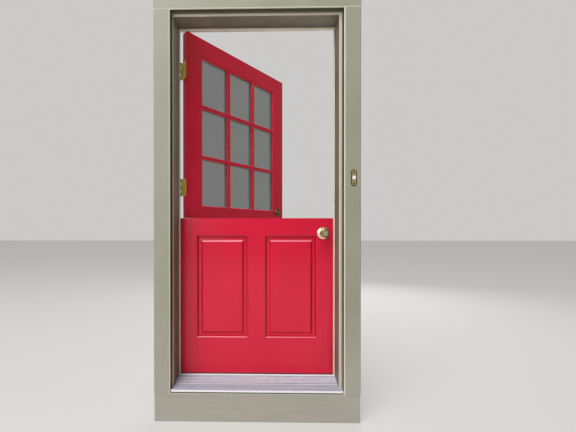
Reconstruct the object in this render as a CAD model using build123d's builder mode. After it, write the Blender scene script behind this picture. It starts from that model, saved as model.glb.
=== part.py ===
"""Dutch stable door in its frame: two wooden leaves hung one above the other on brass butts.

Millimetres. X runs to the right seen from outside, Y into the house, Z up. The origin is in the
middle of the doorway, where the outer edge of the jambs meets the underside of the sill.
The upper leaf is drawn shut and is turned open about its hinge pins when it is written.
"""
import os

from build123d import *

os.makedirs("parts", exist_ok=True)

# Leaves
door_width = 914.4
door_height = 2006.6
leaf_thickness = 44.45
lower_leaf_height = 901.7
edge_gap = 3.2
upper_leaf_open = 49.6

# Jambs
jamb_depth = 166.7
jamb_thickness = 19.05
stop_height = 9.5
head_stop_height = 12.7
seal_thickness = 11.0
kerf_width = 3.0
kerf_depth = 9.0
kerf_inset = 2.0
frame_screw_radius = 2.75
frame_screw_count = 4
frame_screw_spacing = 590.0
frame_screw_first = 150.0
frame_screw_inset = 8.0

# Sill
leaf_bottom = 45.2
nose_reach = 30.0
nose_gap = 3.7
nose_top = 16.4
nose_bottom = 5.7
nose_thickness = 3.0
deck_rise = 19.6
deck_run = 140.0
deck_thickness = 2.5
rib_place = 29.0
rib_height = 1.2
rib_width = 2.0
cap_top = 40.0
cap_wall = 3.0
cap_corner = 1.5

# Casing, beads and apron
casing_width = 88.9
casing_thickness = 34.0
casing_reveal = 14.8
casing_shift = 5.6
head_reveal = 18.0
casing_edge = 5.0
bead_width = 6.5
bead_depth = 10.0
bead_edge = 3.0
apron_height = 152.4
apron_setback = 4.0

# Moulded edges of rails, stiles and bars
member_width = 114.3
meeting_rail_width = 79.4
lower_top_rail_width = 108.5
bottom_rail_width = 210.3
mullion_width = 112.9
bar_width = 25.4
sticking = 9.5
quirk = 1.5
ovolo = 8.0

# Glass
columns = 3
rows = 3
glass_depth = 17.5
glass_thickness = 4.0
glass_clearance = 1.5
glazing_bead_ovolo = 6.5
glazing_bead_gap = 0.1

# Panels
groove_depth = 12.7
groove_width = 14.3
tongue_length = 9.5
tongue_clearance = 0.2
panel_recess = 4.7
bevel_width = 18.5
bevel_rise = 2.0
margin_width = 29.0
cove_hollow = 1.0

# Butt hinges
hinge_height = 101.6
hinge_width = 29.8
hinge_corner = 15.9
plate_thickness = 2.5
knuckle_count = 5
knuckle_radius = 6.5
knuckle_gap = 0.3
pin_radius = 3.5
pin_clearance = 0.05
pin_offset = 21.0
pin_head_radius = 5.5
pin_head_height = 3.0
mortise_clearance = 0.1
upper_hinge_drop = 221.0
upper_hinge_rise = 183.0
lower_hinge_drop = 183.0
lower_hinge_rise = 250.0

# Wood screws
screw_head_radius = 4.4
screw_head_height = 2.4
screw_shank_radius = 2.1
screw_length = 15.0
screw_clearance = 0.1
hinge_screw_places = ((-34.5, 11.0), (-11.5, 20.0), (11.5, 11.0), (34.5, 20.0))

# Locks
backset = 70.0
latch_drop = 86.6
deadbolt_rise = 67.5
cross_bore_radius = 27.0
edge_bore_radius = 12.7
case_radius = 12.6
case_bore_radius = 11.3
case_bore_depth = 46.0
case_tail = 14.0
faceplate_height = 57.2
faceplate_width = 25.4
faceplate_thickness = 3.0
faceplate_corner = 6.0
bolt_clearance = 0.1
bolt_inset = 0.2
spindle_hole_radius = 6.6
latch_width = 11.5
latch_height = 15.0
latch_length = 30.0
latch_throw = 12.7
latch_bevel = 9.0
deadbolt_width = 12.0
deadbolt_height = 17.5
deadbolt_length = 42.0
strike_height = 57.2
strike_width = 28.0
strike_thickness = 1.8
strike_corner = 6.0
strike_lip_height = 34.0
strike_hole_clearance = 1.5
strike_screw_spacing = 41.3
pocket_clearance = 2.0

# Knobs and their roses
rose_radius = 34.5
rose_height = 8.0
rose_rim = 2.5
rose_crown = 19.0
neck_radius = 10.0
neck_end = 24.0
knob_shank_depth = 9.0
knob_radius = 26.0
knob_widest = 43.0
knob_shoulder_radius = 22.5
knob_reach = 57.0
knob_ring_radius = 18.0
knob_ring_height = 4.5
knob_ring_arris = 1.0
knob_dish_radius = 10.5
knob_dish_depth = 2.0
turning_clearance = 0.3
spindle_width = 8.0
plug_radius = 6.5
plug_length = 20.0
plug_fit = 0.05
plug_stand = 0.6
keyway_width = 1.6
keyway_height = 8.5
keyway_depth = 6.0
button_width = 3.0
button_reach = 9.0

# Deadbolt trim
ring_radius = 28.5
ring_face_radius = 21.0
ring_height = 17.0
ring_dish = 1.5
turn_plate_height = 6.0
turn_length = 34.0
turn_width = 9.0
turn_stem_radius = 6.0
turn_stem_height = 8.0
turn_height = 14.0
tailpiece_width = 5.0
tailpiece_thickness = 2.0

# Quadrant that joins the leaves indoors
quadrant_inset = 168.0
quadrant_rise = 26.0
quadrant_radius = 52.0
quadrant_hub_radius = 9.0
quadrant_arm = 16.0
quadrant_thickness = 4.5
quadrant_plate_width = 70.0
quadrant_plate_height = 40.0
quadrant_plate_thickness = 3.0
quadrant_plate_corner = 4.0
quadrant_stud_radius = 3.5
quadrant_stud_cap = 2.0
quadrant_knob_radius = 5.5
quadrant_knob_reach = 9.0
keep_height = 26.0
keep_drop = 3.0
keep_wall = 3.0
keep_lap = 20.0
keep_clearance = 0.6

# Seals
sweep_width = 36.0
sweep_base = 2.0
sweep_fin = 2.0
sweep_clearance = 0.3
seal_lip = 7.7
seal_round = 4.0
seal_fit = 0.2
seal_clearance = 0.3

# Contact plug in the hinge edge
contact_radius = 4.75
contact_length = 15.0
contact_depth = 24.0
contact_rise = 5.0
contact_fit = 0.05

# Bell push
bell_offset = 5.8
bell_height = 1155.0
bell_width = 30.0
bell_length = 88.0
bell_thickness = 3.0
bell_bevel = 1.2
bell_button_rise = 0.5
bell_button_radius = 10.2
bell_button_reach = 3.2
bell_button_edge = 1.0
bell_button_clearance = 0.3
bell_flange_radius = 11.8
bell_flange_height = 2.0
bell_pocket_radius = 12.5
bell_pocket_depth = 22.0

# Places that follow from the sizes
half_door = door_width / 2
leaf_front = jamb_depth - leaf_thickness
mid_leaf = leaf_front + leaf_thickness / 2
stop_back = leaf_front - seal_thickness
rabbet_x = half_door + edge_gap
stop_x = rabbet_x - stop_height
jamb_x = rabbet_x + jamb_thickness
joint_x = half_door - member_width + sticking
sight_x = half_door - member_width
leaf_top = leaf_bottom + door_height
lower_top = leaf_bottom + lower_leaf_height
upper_bottom = lower_top + edge_gap
head_rabbet = leaf_top + edge_gap
head_stop = head_rabbet - head_stop_height
head_top = head_rabbet + jamb_thickness
casing_inner = stop_x + casing_reveal
casing_outer = casing_inner + casing_width
casing_under = head_stop + head_reveal
nose_half_width = casing_inner - nose_gap
pin_x = -(half_door + edge_gap / 2)
pin_y = jamb_depth + pin_offset
hinge_line = Axis((pin_x, pin_y, 0), (0, 0, 1))
lower_hinges = (leaf_bottom + lower_hinge_rise, lower_top - lower_hinge_drop)
upper_hinges = (upper_bottom + upper_hinge_rise, leaf_top - upper_hinge_drop)
lock_x = half_door - backset
latch_z = lower_top - latch_drop
deadbolt_z = upper_bottom + deadbolt_rise


def save_piece(piece, name):
    """Labels a finished piece and writes it under its own name."""
    piece.part.label = name
    export_step(piece.part, f"parts/{name}.step")


def save_on_upper_leaf(piece, name):
    """Turns a piece of the upper leaf open about the hinge pins, then labels and writes it."""
    opened = piece.part.rotate(hinge_line, upper_leaf_open)
    opened.label = name
    export_step(opened, f"parts/{name}.step")


def place(x, y, z, axis):
    """Location of a point whose local z runs along the axis."""
    return Plane(origin=(x, y, z), z_dir=axis).location


def board(x_span, y_span, z_span, arrises, radius):
    """Board between the spans, with the arrises of its front that run along one axis eased."""
    middle = tuple((low + high) / 2 for low, high in (x_span, y_span, z_span))
    with BuildPart() as piece:
        with Locations(middle):
            Box(x_span[1] - x_span[0], y_span[1] - y_span[0], z_span[1] - z_span[0])
        fillet(piece.faces().sort_by(Axis.Y)[0].edges().filter_by(arrises), radius)
    return piece.part


# Sections of the moulded members, drawn from the outer edge at x = 0 to the moulded edge
def glazed_edge(width):
    """Outline from the outside face round the ovolo and the glass rebate to the inside face."""
    Line((0, 0), (width - sticking, 0))
    Line((width - sticking, 0), (width - sticking, quirk))
    Line((width - sticking, quirk), (width - ovolo, quirk))
    CenterArc((width - ovolo, quirk + ovolo), ovolo, -90, 90)
    Line((width, quirk + ovolo), (width, glass_depth))
    Line((width, glass_depth), (width - sticking, glass_depth))
    Line((width - sticking, glass_depth), (width - sticking, leaf_thickness))
    Line((width - sticking, leaf_thickness), (0, leaf_thickness))
    Line((0, leaf_thickness), (0, 0))


def panelled_edge(width):
    """Outline with an ovolo on both faces and the panel groove between them."""
    groove_front = (leaf_thickness - groove_width) / 2
    groove_back = groove_front + groove_width
    back = leaf_thickness - quirk
    Line((0, 0), (width - sticking, 0))
    Line((width - sticking, 0), (width - sticking, quirk))
    Line((width - sticking, quirk), (width - ovolo, quirk))
    CenterArc((width - ovolo, quirk + ovolo), ovolo, -90, 90)
    Line((width, quirk + ovolo), (width, groove_front))
    Line((width, groove_front), (width - groove_depth, groove_front))
    Line((width - groove_depth, groove_front), (width - groove_depth, groove_back))
    Line((width - groove_depth, groove_back), (width, groove_back))
    Line((width, groove_back), (width, back - ovolo))
    CenterArc((width - ovolo, back - ovolo), ovolo, 0, 90)
    Line((width - ovolo, back), (width - sticking, back))
    Line((width - sticking, back), (width - sticking, leaf_thickness))
    Line((width - sticking, leaf_thickness), (0, leaf_thickness))
    Line((0, leaf_thickness), (0, 0))


def stile(edge, z_low, height):
    """Plain hinge stile of a leaf, its outer edge on the leaf's hinge side."""
    with BuildPart() as piece:
        with BuildSketch(Plane(origin=(-half_door, leaf_front, z_low), x_dir=(1, 0, 0), z_dir=(0, 0, 1))):
            with BuildLine():
                edge(member_width)
            make_face()
        extrude(amount=height)
    return piece.part


def rail(edge, width, z_edge, up, plain_stile, tenon):
    """Rail with its outer edge at z_edge, its ends coped over the stiles and tenoned into them."""
    with BuildPart() as piece:
        with BuildSketch(Plane(origin=(0, leaf_front, z_edge), x_dir=(0, 0, up), z_dir=(-up, 0, 0))):
            with BuildLine():
                edge(width)
            make_face()
        extrude(amount=sight_x + tenon, both=True)
        add(plain_stile, mode=Mode.SUBTRACT)
        mirror(plain_stile, about=Plane.YZ, mode=Mode.SUBTRACT)
    return piece.part


def bar_section(edge, width, middle, across, along):
    """Face of a member moulded on both edges, its middle at a point."""
    with BuildSketch(Plane(origin=middle, x_dir=across, z_dir=along)) as section:
        with BuildLine():
            edge(width / 2)
        make_face()
        mirror(about=Plane.YZ)
    return section.sketch


# Wood screw, its head flush with the origin
with BuildPart() as wood_screw:
    with BuildSketch(Plane.XZ):
        with BuildLine():
            Polyline(
                (0, 0),
                (screw_head_radius, 0),
                (screw_shank_radius, -screw_head_height),
                (screw_shank_radius, -screw_length + screw_shank_radius),
                (0, -screw_length),
                close=True,
            )
        make_face()
    revolve(axis=Axis.Z)


def hinge_screws(z_centres, x_face, outward):
    """Places of the screws of butts let into an edge, the axis out of the edge."""
    return [
        place(x_face, jamb_depth - inset, z + rise, (outward, 0, 0))
        for z in z_centres
        for rise, inset in hinge_screw_places
    ]


frame_hinge_screws = hinge_screws(lower_hinges + upper_hinges, -rabbet_x, 1)
upper_hinge_screws = hinge_screws(upper_hinges, -half_door, -1)
lower_hinge_screws = hinge_screws(lower_hinges, -half_door, -1)
strike_screws = [
    place(rabbet_x, mid_leaf, z + side * strike_screw_spacing / 2, (-1, 0, 0))
    for z in (latch_z, deadbolt_z)
    for side in (-1, 1)
]


# Butt hinges
def butt_outline(stretch):
    """Flat outline of a butt's plate, Y across and Z up from its middle."""
    back = jamb_depth - hinge_width
    with BuildSketch() as outline:
        with Locations(((back + pin_y) / 2, 0)):
            Rectangle(pin_y - back + 2 * stretch, hinge_height + 2 * stretch)
        fillet(outline.vertices().group_by(Axis.X)[0], hinge_corner)
    return outline.sketch


def butt_seats(z_centres, x_face, inward):
    """Mortises that let the butts into the edge at x_face."""
    with BuildPart() as seats:
        for z in z_centres:
            with BuildSketch(Plane(origin=(x_face, 0, z), x_dir=(0, 1, 0), z_dir=(inward, 0, 0))):
                add(butt_outline(mortise_clearance))
            extrude(amount=plate_thickness)
    return seats.part


def butt_leaf(x_face, inward, first_knuckle):
    """Leaf of a butt about z = 0: a plate let into the edge and every second knuckle."""
    knuckle_pitch = (hinge_height + knuckle_gap) / knuckle_count
    knuckle_height = knuckle_pitch - knuckle_gap
    clear_y = pin_y - knuckle_radius - knuckle_gap
    web_x = x_face + inward * plate_thickness / 2
    with BuildPart() as piece:
        with BuildSketch(Plane(origin=(x_face, 0, 0), x_dir=(0, 1, 0), z_dir=(inward, 0, 0))):
            add(butt_outline(0))
        extrude(amount=plate_thickness)
        with Locations((web_x, (clear_y + pin_y) / 2, 0)):
            Box(2 * plate_thickness, pin_y - clear_y, hinge_height, mode=Mode.SUBTRACT)
        for index in range(first_knuckle, knuckle_count, 2):
            z = index * knuckle_pitch + knuckle_height / 2 - hinge_height / 2
            with Locations((web_x, (clear_y + pin_y) / 2, z)):
                Box(plate_thickness, pin_y - clear_y, knuckle_height)
            with Locations((pin_x, pin_y, z)):
                Cylinder(knuckle_radius, knuckle_height)
        with Locations((pin_x, pin_y, 0)):
            Cylinder(pin_radius + pin_clearance, hinge_height, mode=Mode.SUBTRACT)
        with Locations(*hinge_screws((0,), x_face, -inward)):
            CounterSinkHole(screw_shank_radius + screw_clearance,
                            screw_head_radius + screw_clearance, depth=plate_thickness)
    return piece.part


with BuildPart() as hinge_pin:
    Cylinder(pin_radius, hinge_height)
    with Locations((0, 0, (hinge_height + pin_head_height) / 2)):
        Cylinder(pin_head_radius, pin_head_height)
    with Locations((0, 0, -(hinge_height + pin_head_height) / 2)):
        Cylinder(pin_head_radius, pin_head_height)
    pin_ends = hinge_pin.edges().group_by(Axis.Z)
    fillet(pin_ends[0] + pin_ends[-1], pin_head_height / 3)

with BuildPart() as hinge_pins:
    with Locations(*[(pin_x, pin_y, z) for z in lower_hinges + upper_hinges]):
        add(hinge_pin.part)
save_piece(hinge_pins, "hinge_pins")

with BuildPart() as frame_hinge_leaves:
    with Locations(*[(0, 0, z) for z in lower_hinges + upper_hinges]):
        add(butt_leaf(-rabbet_x, -1, 0))
save_piece(frame_hinge_leaves, "frame_hinge_leaves")

leaf_butt = butt_leaf(-half_door, 1, 1)
with BuildPart() as lower_hinge_leaves:
    with Locations(*[(0, 0, z) for z in lower_hinges]):
        add(leaf_butt)
save_piece(lower_hinge_leaves, "lower_hinge_leaves")

with BuildPart() as upper_hinge_leaves:
    with Locations(*[(0, 0, z) for z in upper_hinges]):
        add(leaf_butt)
save_on_upper_leaf(upper_hinge_leaves, "upper_hinge_leaves")

with BuildPart() as lower_screws:
    with Locations(*lower_hinge_screws):
        add(wood_screw.part)
save_piece(lower_screws, "lower_screws")

with BuildPart() as upper_screws:
    with Locations(*upper_hinge_screws):
        add(wood_screw.part)
save_on_upper_leaf(upper_screws, "upper_screws")

with BuildPart() as frame_screws:
    with Locations(*frame_hinge_screws, *strike_screws):
        add(wood_screw.part)
save_piece(frame_screws, "frame_screws")


# Jambs
def jamb(side):
    """Rabbeted side jamb with the kerf that grips its seal and its fixing holes."""
    with BuildPart() as piece:
        with BuildSketch() as section:
            with BuildLine():
                Polyline(
                    (stop_x, 0),
                    (jamb_x, 0),
                    (jamb_x, jamb_depth),
                    (rabbet_x, jamb_depth),
                    (rabbet_x, stop_back),
                    (stop_x, stop_back),
                    close=True,
                )
            make_face()
            with Locations((rabbet_x - kerf_inset - kerf_width / 2, stop_back - kerf_depth / 2)):
                Rectangle(kerf_width, kerf_depth, mode=Mode.SUBTRACT)
            if side < 0:
                mirror(about=Plane.YZ, mode=Mode.REPLACE)
        extrude(amount=head_top)
        with Locations(*[
            place(side * rabbet_x, stop_back + frame_screw_inset,
                  frame_screw_first + index * frame_screw_spacing, (-side, 0, 0))
            for index in range(frame_screw_count)
        ]):
            Hole(frame_screw_radius, depth=jamb_thickness)
    return piece.part


with BuildPart() as hinge_jamb:
    add(jamb(-1))
    add(butt_seats(lower_hinges + upper_hinges, -rabbet_x, -1), mode=Mode.SUBTRACT)
    with Locations(*frame_hinge_screws):
        Hole(screw_shank_radius + screw_clearance, depth=screw_length)
save_piece(hinge_jamb, "hinge_jamb")

with BuildPart() as strike_jamb:
    add(jamb(1))
    with Locations((rabbet_x, mid_leaf, latch_z), (rabbet_x, mid_leaf, deadbolt_z)):
        Box(2 * strike_thickness, strike_width + 2 * mortise_clearance,
            strike_height + 2 * mortise_clearance, mode=Mode.SUBTRACT)
    with Locations((rabbet_x, (mid_leaf + jamb_depth) / 2, latch_z)):
        Box(2 * strike_thickness, jamb_depth - mid_leaf,
            strike_lip_height + 2 * mortise_clearance, mode=Mode.SUBTRACT)
    with Locations((rabbet_x, mid_leaf, latch_z)):
        Box(2 * latch_throw, latch_width + 2 * pocket_clearance,
            latch_height + 2 * pocket_clearance, mode=Mode.SUBTRACT)
    with Locations((rabbet_x, mid_leaf, deadbolt_z)):
        Box(2 * jamb_thickness, deadbolt_width + 2 * pocket_clearance,
            deadbolt_height + 2 * pocket_clearance, mode=Mode.SUBTRACT)
    with Locations(*strike_screws):
        CounterSinkHole(screw_shank_radius + screw_clearance, screw_head_radius + screw_clearance,
                        depth=screw_length)
save_piece(strike_jamb, "strike_jamb")

with BuildPart() as head_jamb:
    with BuildSketch(Plane.YZ):
        with BuildLine():
            Polyline(
                (0, head_stop),
                (stop_back, head_stop),
                (stop_back, head_rabbet),
                (jamb_depth, head_rabbet),
                (jamb_depth, head_top),
                (0, head_top),
                close=True,
            )
        make_face()
        with Locations((stop_back - kerf_depth / 2, head_rabbet - kerf_inset - kerf_width / 2)):
            Rectangle(kerf_depth, kerf_width, mode=Mode.SUBTRACT)
    extrude(amount=rabbet_x, both=True)
    with Locations(
        (-(stop_x + rabbet_x) / 2, stop_back / 2, head_top),
        ((stop_x + rabbet_x) / 2, stop_back / 2, head_top),
    ):
        Box(stop_height, stop_back, 2 * (head_top - head_stop), mode=Mode.SUBTRACT)
save_piece(head_jamb, "head_jamb")

# Casing, not quite in the middle of the jambs
with BuildPart() as casing_left:
    add(board((casing_shift - casing_outer, casing_shift - casing_inner), (-casing_thickness, 0),
              (0, casing_under), Axis.Z, casing_edge))
save_piece(casing_left, "casing_left")

bell_x = casing_shift + (casing_inner + casing_outer) / 2 + bell_offset
button_z = bell_height + bell_button_rise
with BuildPart() as casing_right:
    add(board((casing_shift + casing_inner, casing_shift + casing_outer), (-casing_thickness, 0),
              (0, casing_under), Axis.Z, casing_edge))
    with Locations(place(bell_x, -casing_thickness, button_z, (0, -1, 0))):
        Hole(bell_pocket_radius, depth=bell_pocket_depth)
save_piece(casing_right, "casing_right")

with BuildPart() as casing_head:
    add(board((casing_shift - casing_outer, casing_shift + casing_outer), (-casing_thickness, 0),
              (casing_under, casing_under + casing_width), Axis.X, casing_edge))
save_piece(casing_head, "casing_head")

apron_half_width = casing_outer - apron_setback
with BuildPart() as apron_board:
    add(board((casing_shift - apron_half_width, casing_shift + apron_half_width),
              (-casing_thickness, 0), (-apron_height, 0), Axis.X, casing_edge))
save_piece(apron_board, "apron_board")

# Beads in the corner between casing and jamb
deck_slope = deck_rise / deck_run
deck_at_face = nose_top + nose_reach * deck_slope
bead_top = casing_under - bead_width
for name, side in (("bead_left", -1), ("bead_right", 1)):
    bead_x = casing_shift + side * (casing_inner - bead_width / 2)
    with BuildPart() as bead:
        add(board((bead_x - bead_width / 2, bead_x + bead_width / 2), (-bead_depth, 0),
                  (deck_at_face, bead_top), Axis.Z, bead_edge))
    save_piece(bead, name)

with BuildPart() as bead_head:
    add(board((casing_shift - casing_inner, casing_shift + casing_inner), (-bead_depth, 0),
              (bead_top, casing_under), Axis.X, bead_edge))
save_piece(bead_head, "bead_head")

# Sill
with BuildPart() as sill_plan:
    with BuildSketch():
        with Locations((casing_shift, -nose_reach / 2)):
            Rectangle(2 * nose_half_width, nose_reach)
        with Locations((0, stop_back / 2)):
            Rectangle(2 * stop_x, stop_back)
        with Locations((0, (stop_back + jamb_depth) / 2)):
            Rectangle(2 * rabbet_x, jamb_depth - stop_back)
    extrude(amount=leaf_bottom)

cap_front = deck_run - nose_reach
deck_back = nose_top + deck_rise
with BuildPart() as threshold_deck:
    with BuildSketch(Plane.YZ):
        with BuildLine():
            Polyline(
                (-nose_reach, nose_bottom),
                (-nose_reach, nose_top),
                (cap_front, deck_back),
                (cap_front, deck_back - deck_thickness),
                (nose_thickness - nose_reach, nose_top + nose_thickness * deck_slope - deck_thickness),
                (nose_thickness - nose_reach, nose_bottom),
                close=True,
            )
        make_face()
        with Locations((rib_place, nose_top + (rib_place + nose_reach) * deck_slope)):
            Rectangle(rib_width, 2 * rib_height)
    extrude(amount=jamb_x, both=True)
    add(sill_plan.part, mode=Mode.INTERSECT)
save_piece(threshold_deck, "threshold_deck")

with BuildPart() as sill_board:
    with BuildSketch(Plane.YZ):
        with BuildLine():
            Polyline(
                (nose_thickness - nose_reach, nose_bottom),
                (nose_thickness - nose_reach, nose_top + nose_thickness * deck_slope - deck_thickness),
                (cap_front, deck_back - deck_thickness),
                (jamb_depth, deck_back - deck_thickness),
                (jamb_depth, 0),
                (0, 0),
                (0, nose_bottom),
                close=True,
            )
        make_face()
    extrude(amount=jamb_x, both=True)
    add(sill_plan.part, mode=Mode.INTERSECT)
save_piece(sill_board, "sill_board")

with BuildPart() as threshold_cap:
    with BuildSketch(Plane.YZ) as cap_section:
        with BuildLine():
            Polyline(
                (cap_front, deck_back - deck_thickness),
                (cap_front, cap_top),
                (jamb_depth, cap_top),
                (jamb_depth, deck_back - deck_thickness),
                close=True,
            )
        make_face()
        fillet(cap_section.vertices().group_by(Axis.Y)[-1], cap_corner)
        with Locations(((cap_front + jamb_depth) / 2, deck_back - deck_thickness)):
            Rectangle(jamb_depth - cap_front - 2 * cap_wall,
                      2 * (cap_top - deck_back + deck_thickness - cap_wall), mode=Mode.SUBTRACT)
    extrude(amount=rabbet_x, both=True)
    add(sill_plan.part, mode=Mode.INTERSECT)
save_piece(threshold_cap, "threshold_cap")

# Seals
seal_front = leaf_front - seal_clearance
seal_outer = rabbet_x - seal_fit
for name, side in (("seal_hinge_side", -1), ("seal_strike_side", 1)):
    with BuildPart() as seal:
        with BuildSketch(Plane.XY.offset(cap_top)) as section:
            with Locations(((stop_x - seal_lip + seal_outer) / 2, (stop_back + seal_front) / 2)):
                Rectangle(seal_outer - stop_x + seal_lip, seal_front - stop_back)
            fillet(section.vertices().group_by(Axis.X)[0], seal_round)
            with Locations((rabbet_x - kerf_inset - kerf_width / 2, stop_back)):
                Rectangle(kerf_width - 2 * seal_fit, kerf_depth - seal_fit,
                          align=(Align.CENTER, Align.MAX))
            if side < 0:
                mirror(about=Plane.YZ, mode=Mode.REPLACE)
        extrude(amount=head_stop - seal_lip - cap_top)
    save_piece(seal, name)

with BuildPart() as seal_head:
    with BuildSketch(Plane.YZ) as section:
        seal_top = head_rabbet - seal_fit
        with Locations(((stop_back + seal_front) / 2, (head_stop - seal_lip + seal_top) / 2)):
            Rectangle(seal_front - stop_back, seal_top - head_stop + seal_lip)
        fillet(section.vertices().group_by(Axis.Y)[0], seal_round)
        with Locations((stop_back, head_rabbet - kerf_inset - kerf_width / 2)):
            Rectangle(kerf_depth - seal_fit, kerf_width - 2 * seal_fit,
                      align=(Align.MAX, Align.CENTER))
    extrude(amount=stop_x, both=True)
save_piece(seal_head, "seal_head")

# Upper leaf, its members coped together round the glass
sight_low = upper_bottom + meeting_rail_width
sight_high = leaf_top - member_width
glazed_stile = stile(glazed_edge, upper_bottom, leaf_top - upper_bottom)

upper_butt_seats = butt_seats(upper_hinges, -half_door, 1)
with BuildPart() as upper_hinge_stile:
    add(glazed_stile)
    add(upper_butt_seats, mode=Mode.SUBTRACT)
    with Locations(*upper_hinge_screws):
        Hole(screw_shank_radius + screw_clearance, depth=screw_length)
    contact_z = upper_hinges[1] + hinge_height / 2 + contact_rise
    contact_place = place(-half_door, leaf_front + contact_depth, contact_z, (-1, 0, 0))
    with Locations(contact_place):
        Hole(contact_radius + contact_fit, depth=contact_length)
save_on_upper_leaf(upper_hinge_stile, "upper_hinge_stile")

with BuildPart() as contact_plug:
    with Locations(contact_place):
        Cylinder(contact_radius, contact_length, align=(Align.CENTER, Align.CENTER, Align.MAX))
save_on_upper_leaf(contact_plug, "contact_plug")


def lock_bores(z):
    """Bores of a lock at height z: through the stile, in from the edge, and the faceplate's seat."""
    with BuildPart() as bores:
        with Locations(place(lock_x, mid_leaf, z, (0, 1, 0))):
            Cylinder(cross_bore_radius, leaf_thickness)
        with Locations(place(half_door, mid_leaf, z, (-1, 0, 0))):
            Cylinder(edge_bore_radius, backset + case_tail, align=(Align.CENTER, Align.CENTER, Align.MIN))
        with Locations((half_door, mid_leaf, z)):
            Box(2 * faceplate_thickness, faceplate_width + 2 * mortise_clearance,
                faceplate_height + 2 * mortise_clearance)
    return bores.part


def lock_case(z, bolt_width, bolt_height):
    """Tubular case of a lock with its faceplate, bored for a bolt and for the spindle."""
    with BuildPart() as piece:
        with Locations(place(half_door - faceplate_thickness, mid_leaf, z, (-1, 0, 0))):
            Cylinder(case_radius, backset + case_tail - faceplate_thickness,
                     align=(Align.CENTER, Align.CENTER, Align.MIN))
        with BuildSketch(Plane.YZ.offset(half_door - faceplate_thickness)):
            with Locations((mid_leaf, z)):
                RectangleRounded(faceplate_width, faceplate_height, faceplate_corner)
        extrude(amount=faceplate_thickness)
        with Locations(place(half_door - faceplate_thickness, mid_leaf, z, (-1, 0, 0))):
            Cylinder(case_bore_radius, case_bore_depth, align=(Align.CENTER, Align.CENTER, Align.MIN),
                     mode=Mode.SUBTRACT)
        with Locations((half_door, mid_leaf, z)):
            Box(2 * faceplate_thickness, bolt_width + 2 * bolt_clearance,
                bolt_height + 2 * bolt_clearance, mode=Mode.SUBTRACT)
        with Locations(place(lock_x, mid_leaf, z, (0, 1, 0))):
            Cylinder(spindle_hole_radius, 2 * case_radius, mode=Mode.SUBTRACT)
    return piece.part


with BuildPart() as upper_lock_stile:
    mirror(glazed_stile, about=Plane.YZ)
    add(lock_bores(deadbolt_z), mode=Mode.SUBTRACT)
save_on_upper_leaf(upper_lock_stile, "upper_lock_stile")

with BuildPart() as upper_top_rail:
    add(rail(glazed_edge, member_width, leaf_top, -1, glazed_stile, sticking))
save_on_upper_leaf(upper_top_rail, "upper_top_rail")

with BuildPart() as upper_bottom_rail:
    add(rail(glazed_edge, meeting_rail_width, upper_bottom, 1, glazed_stile, sticking))
save_on_upper_leaf(upper_bottom_rail, "upper_bottom_rail")

# Glazing bars: tall ones from rail to rail, short ones coped between them
lite_width = (2 * sight_x - (columns - 1) * bar_width) / columns
lite_height = (sight_high - sight_low - (rows - 1) * bar_width) / rows
lite_middles_x = [(index - (columns - 1) / 2) * (lite_width + bar_width) for index in range(columns)]
lite_middles_z = [
    sight_low + lite_height / 2 + index * (lite_height + bar_width) for index in range(rows)
]
with BuildPart() as tall_bars:
    for x in lite_middles_x[1:]:
        middle = x - (lite_width + bar_width) / 2
        extrude(bar_section(glazed_edge, bar_width, (middle, leaf_front, sight_low - sticking),
                            (1, 0, 0), (0, 0, 1)), amount=sight_high - sight_low + 2 * sticking)
    add(upper_top_rail.part, mode=Mode.SUBTRACT)
    add(upper_bottom_rail.part, mode=Mode.SUBTRACT)
for name, half in (("bar_hinge_side", Keep.BOTTOM), ("bar_lock_side", Keep.TOP)):
    with BuildPart() as tall_bar:
        add(tall_bars.part)
        split(bisect_by=Plane.YZ, keep=half)
    save_on_upper_leaf(tall_bar, name)

with BuildPart() as cross_bars:
    for z in lite_middles_z[1:]:
        middle = z - (lite_height + bar_width) / 2
        extrude(bar_section(glazed_edge, bar_width, (0, leaf_front, middle), (0, 0, 1), (-1, 0, 0)),
                amount=joint_x, both=True)
    add(glazed_stile, mode=Mode.SUBTRACT)
    mirror(glazed_stile, about=Plane.YZ, mode=Mode.SUBTRACT)
    add(tall_bars.part, mode=Mode.SUBTRACT)
save_on_upper_leaf(cross_bars, "cross_bars")

# Glass and the mitred beads that hold it from indoors
lite_middles = [(x, leaf_front, z) for z in lite_middles_z for x in lite_middles_x]
pane_width = lite_width + 2 * (sticking - glass_clearance)
pane_height = lite_height + 2 * (sticking - glass_clearance)
with BuildPart() as glass_panes:
    with Locations(*[(x, y + glass_depth + glass_thickness / 2, z) for x, y, z in lite_middles]):
        Box(pane_width, glass_thickness, pane_height)
save_on_upper_leaf(glass_panes, "glass_panes")


def bead_strip(length):
    """Bead along the foot of a rebate of the given length, mitred at both ends."""
    back = glass_depth + glass_thickness
    with BuildPart() as piece:
        with BuildSketch(Plane.YZ):
            with BuildLine():
                Line((back, glazing_bead_gap), (leaf_thickness, glazing_bead_gap))
                Line((leaf_thickness, glazing_bead_gap), (leaf_thickness, sticking - glazing_bead_ovolo))
                CenterArc((leaf_thickness - glazing_bead_ovolo, sticking - glazing_bead_ovolo),
                          glazing_bead_ovolo, 0, 90)
                Line((leaf_thickness - glazing_bead_ovolo, sticking), (back, sticking))
                Line((back, sticking), (back, glazing_bead_gap))
            make_face()
        extrude(amount=length / 2, both=True)
        with BuildSketch(Plane.XZ):
            with BuildLine():
                foot = length / 2 - 2 * glazing_bead_gap
                crown = length / 2 - sticking - glazing_bead_gap
                Polyline((-foot, glazing_bead_gap), (foot, glazing_bead_gap),
                         (crown, sticking), (-crown, sticking), close=True)
            make_face()
        extrude(amount=-leaf_thickness, mode=Mode.INTERSECT)
    return piece.part


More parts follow.
